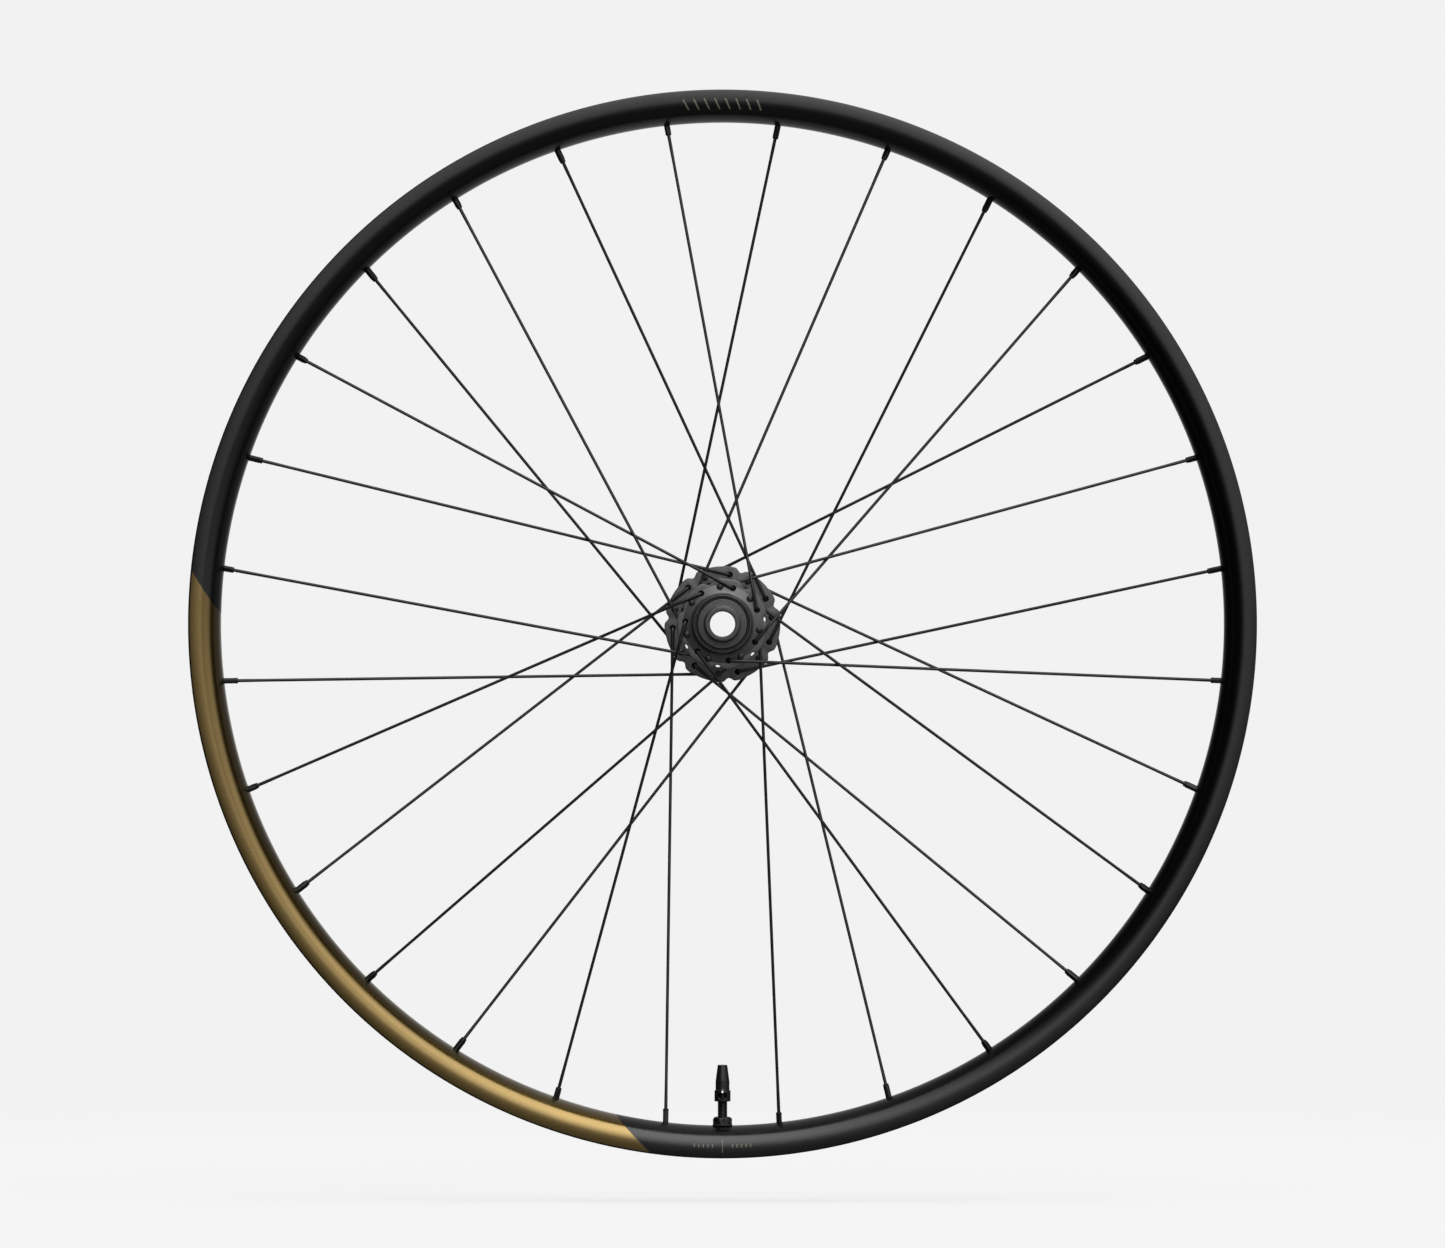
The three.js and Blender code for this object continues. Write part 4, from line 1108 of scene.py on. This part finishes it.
def race_section(land, back_r, groove_r, middle, outer):
    """A bearing ring: a square outside with rounded corners, and a ball groove in its land."""
    half = BEARING_WIDTH / 2
    groove = []
    for step in range(9):
        turn = math.radians(-60 + 15 * step)
        depth = groove_r * (math.cos(turn) - 0.5)
        groove.append((land + depth if outer else land - depth, middle + groove_r * math.sin(turn)))
    if outer:
        corners = [(land, middle - half, 0.15), (back_r, middle - half, 0.5), (back_r, middle + half, 0.5),
                   (land, middle + half, 0.15)]
        return fillet(corners, steps=4) + groove[::-1]
    corners = [(land, middle + half, 0.15), (back_r, middle + half, 0.5), (back_r, middle - half, 0.5),
               (land, middle - half, 0.15)]
    return fillet(corners, steps=4) + groove


def ball_mesh(centre, radius, rings=14, sides=24):
    turns = [math.pi * ring / rings for ring in range(rings + 1)]
    profile = [(radius * math.sin(turn), -radius * math.cos(turn)) for turn in turns]
    return moved(solid_mesh(profile, sides), Matrix.Translation(centre))


BALLS = 12


def cage_mesh(middle):
    """A wavy moulded ribbon that passes round each ball in turn."""
    rows, vertices = 288, []
    for row in range(rows):
        angle = 360 * row / rows
        wave = 1.55 + 0.75 * abs(math.cos(math.radians(angle * BALLS / 2)))
        for radius, y in ((11.35, wave - 0.5), (12.15, wave - 0.5), (12.15, wave), (11.35, wave)):
            vertices.append(on_circle(radius, angle, middle + y))
    return vertices, grid_faces(rows, 4, close_rows=True)


def seal_section(outward_y, inward):
    """A rubber shield with a ridge, and a lip at each edge."""
    section = [
        (10.62, 0.1), (10.95, 0.0), (11.3, 0.12), (11.6, 0.32), (12.2, 0.32), (12.5, 0.15), (12.85, 0.15),
        (12.95, 0.45), (12.5, 0.7), (11.3, 0.7), (10.95, 0.55),
    ]
    return [(radius, outward_y - y * inward) for radius, y in section]


def make_bearings():
    for end in (RIGHT_END, LEFT_END):
        side, sign, face = end["side"], end["sign"], end["face"]
        middle = sign * (face - BEARING_WIDTH / 2)
        outer = outward_faces(ring_mesh(race_section(13.1, 14.98, BALL_R, middle, True), HUB_SEGMENTS))
        place(make(f"bearing_outer_ring_{side}", *outer, GROUND_STEEL), "wheel", "bearing_steel",
              f"bearing_outer_ring_{side}")
        inner = outward_faces(ring_mesh(race_section(10.4, 8.53, BALL_R, middle, False), HUB_SEGMENTS))
        place(make(f"bearing_inner_ring_{side}", *inner, GROUND_STEEL), "axle", "bearing_steel",
              f"bearing_inner_ring_{side}")
        centres = [on_circle(BALL_CIRCLE_R, 360 * ball / BALLS, middle) for ball in range(BALLS)]
        balls = [ball_mesh(centre, BALL_R * 0.99) for centre in centres]
        ball_set = merged(f"bearing_balls_{side}", balls, POLISHED_BALL)
        place(ball_set, f"{side}_ball_set", "bearing_steel", f"bearing_balls_{side}")
        cage = make(f"bearing_cage_{side}", *cage_mesh(middle - 0.8), CAGE_NYLON)
        place(cage, f"{side}_ball_set", "bearing_steel", f"bearing_balls_{side}")
        for where, surface, inward in (("outer", face - 0.2, 1), ("inner", face - BEARING_WIDTH + 0.2, -1)):
            section = on_side(seal_section(surface, inward), sign)
            if inward < 0:
                section = section[::-1]
            seal = make_ring(f"bearing_{where}_seal_{side}", section, RUBBER, 0.08)
            place(seal, "wheel", "rubber", f"bearing_{where}_seal_{side}")
        cap = make_ring(f"end_cap_{side}", on_side(end_cap_section(end), sign), TURNED_BLACK, 0.15, 192, 5)
        place(cap, "axle", "anodised_cap", f"end_cap_{side}")
        o_ring_section = torus_section((AXLE_R + O_RING_GROOVE_R) / 2, 0.72, sign * (face + O_RING_AT))
        o_ring = make_ring(f"axle_oring_{side}", o_ring_section, RUBBER, 0)
        place(o_ring, "axle", "rubber", f"axle_oring_{side}")


# ------------------------------------------------------------------ valve


def at_valve(mesh):
    """Stands a mesh made about +Y, measured from the wheel's centre, on the valve's own line."""
    return along_axis(mesh, Vector((0, 0, 0)), Vector((0, 0, -1)))


def valve_ring(name, section, material, radius=0.12, segments=64, steps=3):
    mesh = outward_faces(ring_mesh(fillet(section, radius, steps), segments))
    return make(name, *at_valve(mesh), material)


def knurled_mesh(section, teeth, depth, low, high, segments):
    """A ring whose outside is cut with straight teeth between two distances."""
    vertices = []
    outermost = max(radius for radius, _ in section)
    for j in range(segments):
        angle = 360 * j / segments
        tooth = 0.5 + 0.5 * math.cos(math.radians(angle * teeth))
        for radius, y in section:
            cut = depth * tooth if radius > outermost - 0.6 and low < y < high else 0
            vertices.append(on_circle(radius - cut, angle, y))
    return outward_faces((vertices, grid_faces(segments, len(section), close_rows=True)))


STEM_R = 2.95
STEM_THREAD = {"major": STEM_R, "minor": STEM_R - 0.32, "pitch": 0.8}
CORE_TOP = 273.2
CORE_END = 291


def make_valve():
    flange_from = STEM_BASE - 1.1
    thread = screw_mesh(**STEM_THREAD, start=STEM_TOP, end=flange_from + 0.4, sides=48, ramp=0.8)
    stem = make("valve_stem", *at_valve(thread), VALVE_ALLOY)
    base_profile = fillet(
        [
            (0, flange_from - 0.2), (2.6, flange_from - 0.2), (4.2, flange_from + 0.1, 0.25),
            (4.2, STEM_BASE, 0.3), (0, STEM_BASE),
        ],
        closed=False,
    )
    apply_boolean(stem, "UNION", make("stem_base", *at_valve(solid_mesh(base_profile, 64)), VALVE_ALLOY))
    channel = [(0, STEM_TOP - 2), (1.6, STEM_TOP - 2), (1.6, STEM_BASE + 2), (0, STEM_BASE + 2)]
    apply_boolean(stem, "DIFFERENCE", make("stem_bore", *at_valve(solid_mesh(channel, 32))))
    place(stem, "wheel", "valve_alloy", "valve_stem")

    core = [
        (0.85, CORE_TOP, 0.1), (1.75, CORE_TOP, 0.2), (2.1, CORE_TOP + 0.4, 0.1), (2.1, STEM_TOP - 0.15, 0.1),
        (1.45, STEM_TOP - 0.1, 0.1), (1.45, CORE_END, 0.2), (0.85, CORE_END, 0.1),
    ]
    place(valve_ring("valve_core", core, BRASS), "wheel", "brass", "valve_core")

    pin_profile = fillet(
        [
            (0, PIN_TOP), (0.42, PIN_TOP, 0.15), (0.55, PIN_TOP + 0.3, 0.1), (0.55, CORE_END + 0.2, 0.1),
            (1.2, CORE_END + 0.5, 0.2), (1.2, PIN_END, 0.3), (0, PIN_END),
        ],
        closed=False,
    )
    pin = make("valve_core_pin", *at_valve(solid_mesh(pin_profile, 32)), BRASS)
    place(pin, "core_pin", "brass", "valve_core_pin")

    nut_low, nut_high = CORE_TOP - 2.3, CORE_TOP - 0.3
    corners = [(0.72, nut_low, 0.1), (1.65, nut_low, 0.3), (1.65, nut_high, 0.3), (0.72, nut_high, 0.1)]
    section = fillet(corners, 0.1, 4)
    dense = []
    for a, b in zip(section, section[1:] + section[:1]):
        dense.extend([a, ((a[0] + b[0]) / 2, (a[1] + b[1]) / 2)])
    knurl = knurled_mesh(dense, 20, 0.16, nut_low + 0.2, nut_high - 0.2, 160)
    place(make("valve_core_nut", *at_valve(knurl), BRASS), "core_nut", "brass", "valve_core_nut")

    make_valve_cap()

    grommet = [
        (STEM_R + 0.05, WELL_R + 0.75, 0.2), (3.4, WELL_R + 0.7, 0.3), (5.0, WELL_R + 1.0, 0.5),
        (4.9, WELL_R + 2.0, 0.6), (4.3, flange_from - 0.25, 0.3), (STEM_R + 0.05, flange_from - 0.25, 0.2),
    ]
    place(valve_ring("valve_grommet", grommet, RUBBER), "wheel", "rubber", "valve_grommet")
    make_lock_nut()


WINDOW_AT = 280.8  # the middle of the window through the cap's collar
WINDOW_HALF_WIDTH = 2.45
WINDOW_HALF_HEIGHT = 1.6
NICK_SIZE = (0.58, 0.95, 1.6)  # half sizes of the bright cut above the window, where the cutter ran out


def make_valve_cap():
    """A hollow cap: a cone, a plain waist, and a collar with a window milled through each side."""
    collar_top = CAP_TOP + 14.9
    section = fillet(
        [
            (0.5, CAP_TOP + 1.6, 0.1), (0.5, CAP_TOP + 0.35, 0.15), (0.9, CAP_TOP, 0.1), (2.85, CAP_TOP, 0.4),
            (4.12, CAP_TOP + 9.6, 0.8), (4.15, collar_top, 0.15), (4.8, collar_top + 0.4, 0.25),
            (4.8, CAP_BOTTOM, 0.3), (STEM_R + 0.15, CAP_BOTTOM, 0.25), (STEM_R + 0.15, CORE_TOP + 1, 0.3),
            (2.3, CORE_TOP - 1, 0.3), (1.3, CAP_TOP + 1.6, 0.2),
        ],
        0.12,
        6,
    )
    cap = make("valve_cap", *at_valve(outward_faces(ring_mesh(section, 96))), VALVE_ALLOY, BARE_ALLOY)

    def window_outline(level):
        y, chamfer = level
        wide, low, high = WINDOW_HALF_WIDTH + chamfer, -WINDOW_HALF_HEIGHT - chamfer, WINDOW_HALF_HEIGHT
        corners = [(-wide, low, 1.7), (wide, low, 1.7), (wide, high, 0.4), (-wide, high, 0.4)]
        return y, fillet(corners, steps=6)

    near_side = [(-5.2, 0.9), (-4.6, 0.75), (-3.9, 0.12), (-3.0, 0.0)]
    levels = near_side + [(-y, chamfer) for y, chamfer in reversed(near_side)]
    at = Matrix.Translation((0, 0, -WINDOW_AT))
    window = make("cap_window", *moved(sleeve_mesh(window_outline, levels), at), VALVE_ALLOY, BARE_ALLOY)
    run_out = Matrix.Translation((0, -4.6, WINDOW_HALF_HEIGHT + 1.4 - WINDOW_AT))
    nick_mesh = moved(ball_mesh((0, 0, 0), 1.0, 16, 32), run_out @ Matrix.Diagonal((*NICK_SIZE, 1)))
    nick = make("cap_nick", *nick_mesh, VALVE_ALLOY, BARE_ALLOY)
    apply_boolean(cap, "DIFFERENCE", window, take_second_material(nick))
    place(cap, "cap", "valve_alloy", "valve_cap")


NUT_FLAT = 5.15  # half of the width across the flats
NUT_CORNER_R = 5.75
NUT_TURNED = 11.5  # how the hexagon stands round the stem, in degrees


def make_lock_nut():
    """A hexagonal nut with a domed top and a round foot, on a rubber washer."""
    low, high = NUT_TOP - 0.4, NUT_TOP + 3.75
    dome = [(low, 3.0), (low, 3.9), (low + 0.12, 4.5), (low + 0.45, 5.02), (low + 0.95, 5.45)]
    hexagon = [(low + 1.6, NUT_CORNER_R), (high - 1.0, NUT_CORNER_R)]
    foot = [
        (high - 0.8, 5.5), (high - 0.62, 5.5), (high - 0.5, 5.8), (high - 0.2, 5.85),
        (high, 5.7), (high, 3.0),
    ]
    levels = dome + hexagon + foot
    segments = 180
    vertices = []
    for j in range(segments):
        angle = 360 * j / segments
        from_flat = math.radians((angle - NUT_TURNED) % 60 - 30)
        for y, radius in dome + hexagon:
            vertices.append(on_circle(min(radius, NUT_FLAT / math.cos(from_flat)), angle, y))
        vertices.extend(on_circle(radius, angle, y) for y, radius in foot)
    faces = grid_faces(segments, len(levels), close_rows=True)
    nut = make("valve_nut", *at_valve((vertices, faces)), VALVE_ALLOY)
    hole = solid_mesh([(0, low - 1), (STEM_R + 0.1, low - 1), (STEM_R + 0.1, high + 1), (0, high + 1)], 48)
    apply_boolean(nut, "DIFFERENCE", make("nut_hole", *at_valve(hole)))
    place(nut, "wheel", "valve_alloy", "valve_nut")
    washer = [
        (STEM_R + 0.1, high + 0.1, 0.2), (5.5, high + 0.1, 0.3), (5.95, high + 0.55, 0.4),
        (5.9, SPOKE_BED_R - 0.05, 0.2), (STEM_R + 0.1, SPOKE_BED_R - 0.05, 0.2),
    ]
    place(valve_ring("valve_nut_washer", washer, RUBBER), "wheel", "rubber", "valve_nut_washer")


# ------------------------------------------------------------------ stage

CAMERA_AT = (0.0046, -6.0, -0.0114)
SENSOR_WIDTH = 36.0
LENS = 250.93
FLOATING = 0.027  # the wheel hangs this far above the floor
FLOOR_Z = -RIM_R * MM - FLOATING
BACKGROUND = 0.887
FLOOR_ALBEDO = 0.12
FLOOR_GLOW = 0.80
AMBIENT = 0.01


def make_camera():
    data = bpy.data.cameras.new("camera")
    data.sensor_width = SENSOR_WIDTH
    data.lens = LENS
    data.clip_end = 200
    camera = bpy.data.objects.new("camera", data)
    bpy.context.scene.collection.objects.link(camera)
    camera.location = CAMERA_AT
    camera.rotation_mode = "QUATERNION"
    camera.rotation_quaternion = (-camera.location).to_track_quat("-Z", "Y")
    bpy.context.scene.camera = camera


def make_floor():
    """A pale floor that takes the wheel's faint shadow, and further off melts into the background."""
    shader = Shader("pale_floor")
    away = shader.length(shader.position(), (1, 1, 0))
    near = shader.between(away, 1.5, 0.6, smooth=True)
    shader.set(Base_Color=shader.mix(near, grey(0), grey(FLOOR_ALBEDO)), Roughness=0.9)
    shader.set(Emission_Color=shader.mix(near, grey(BACKGROUND), grey(FLOOR_GLOW)), Emission_Strength=1.0)
    shader.principled.inputs["Specular IOR Level"].default_value = 0.0
    size = 60 / MM
    corners = [(-size, -size, 0), (size, -size, 0), (size, size, 0), (-size, size, 0)]
    floor = make("floor", corners, [(0, 1, 2, 3)], shader.material)
    floor.location.z = FLOOR_Z
    floor.visible_glossy = False
    floor.visible_diffuse = False


def make_world():
    """The studio around the wheel, as brightness by direction.

    A long softbox hangs overhead and in front, and fades towards the floor and the sides. A dimmer
    one stands on the right, and the white background behind lights the edges.
    """
    world = bpy.data.worlds.new("studio")
    bpy.context.scene.world = world
    world.use_nodes = True
    graph = Graph(world.node_tree)
    direction = graph.node("ShaderNodeTexCoord").outputs["Generated"]
    right = graph.dot(direction, (1, 0, 0))
    front = graph.dot(direction, (0, -1, 0))
    up = graph.dot(direction, (0, 0, 1))

    def panel(brightness, *edges):
        """A soft-edged area. An edge is (coordinate, where it starts, where it is full)."""
        level = brightness
        for coordinate, start, full in edges:
            level = graph.math("MULTIPLY", level, graph.between(coordinate, start, full, smooth=True))
        return level

    panels = [
        panel(1.5, (up, -0.22, 0.3), (front, -0.1, 0.4), (right, -0.6, 0.15), (right, 0.6, 0.05)),
        panel(2.1, (up, 0.1, 0.8), (front, -0.35, 0.15), (right, -0.75, 0.1), (right, 0.9, 0.3)),
        panel(1.0, (right, 0.3, 0.6), (front, 0.1, 0.5), (up, -0.5, 0.5)),
        panel(0.14, (front, 0.85, 0.97), (right, -0.4, 0.0)),
        panel(0.1, (right, -0.8, -0.1)),
        panel(0.2, (front, 0.0, -0.5), (right, -0.6, 0.1), (right, 0.7, 0.1)),
        panel(0.3, (front, -0.95, -0.99)),
    ]
    total = AMBIENT
    for part in panels:
        total = graph.math("ADD", total, part)
    seen = graph.node("ShaderNodeMix")
    graph.link(graph.node("ShaderNodeLightPath").outputs["Is Camera Ray"], seen.inputs["Factor"])
    graph.link(total, seen.inputs["A"])
    seen.inputs["B"].default_value = BACKGROUND
    background = graph.tree.nodes["Background"]
    graph.link(seen.outputs["Result"], background.inputs["Strength"])
    background.inputs["Color"].default_value = (1, 1, 1, 1)


def make_stage():
    make_camera()
    make_floor()
    make_world()
    bpy.context.scene.view_settings.view_transform = "Standard"


# ------------------------------------------------------------------ the whole wheel

make_stage()
spoke_lines = make_spokes()
make_rim(spoke_lines)
make_tape()
make_hub(spoke_lines)
make_axle()
make_bearings()
make_valve()
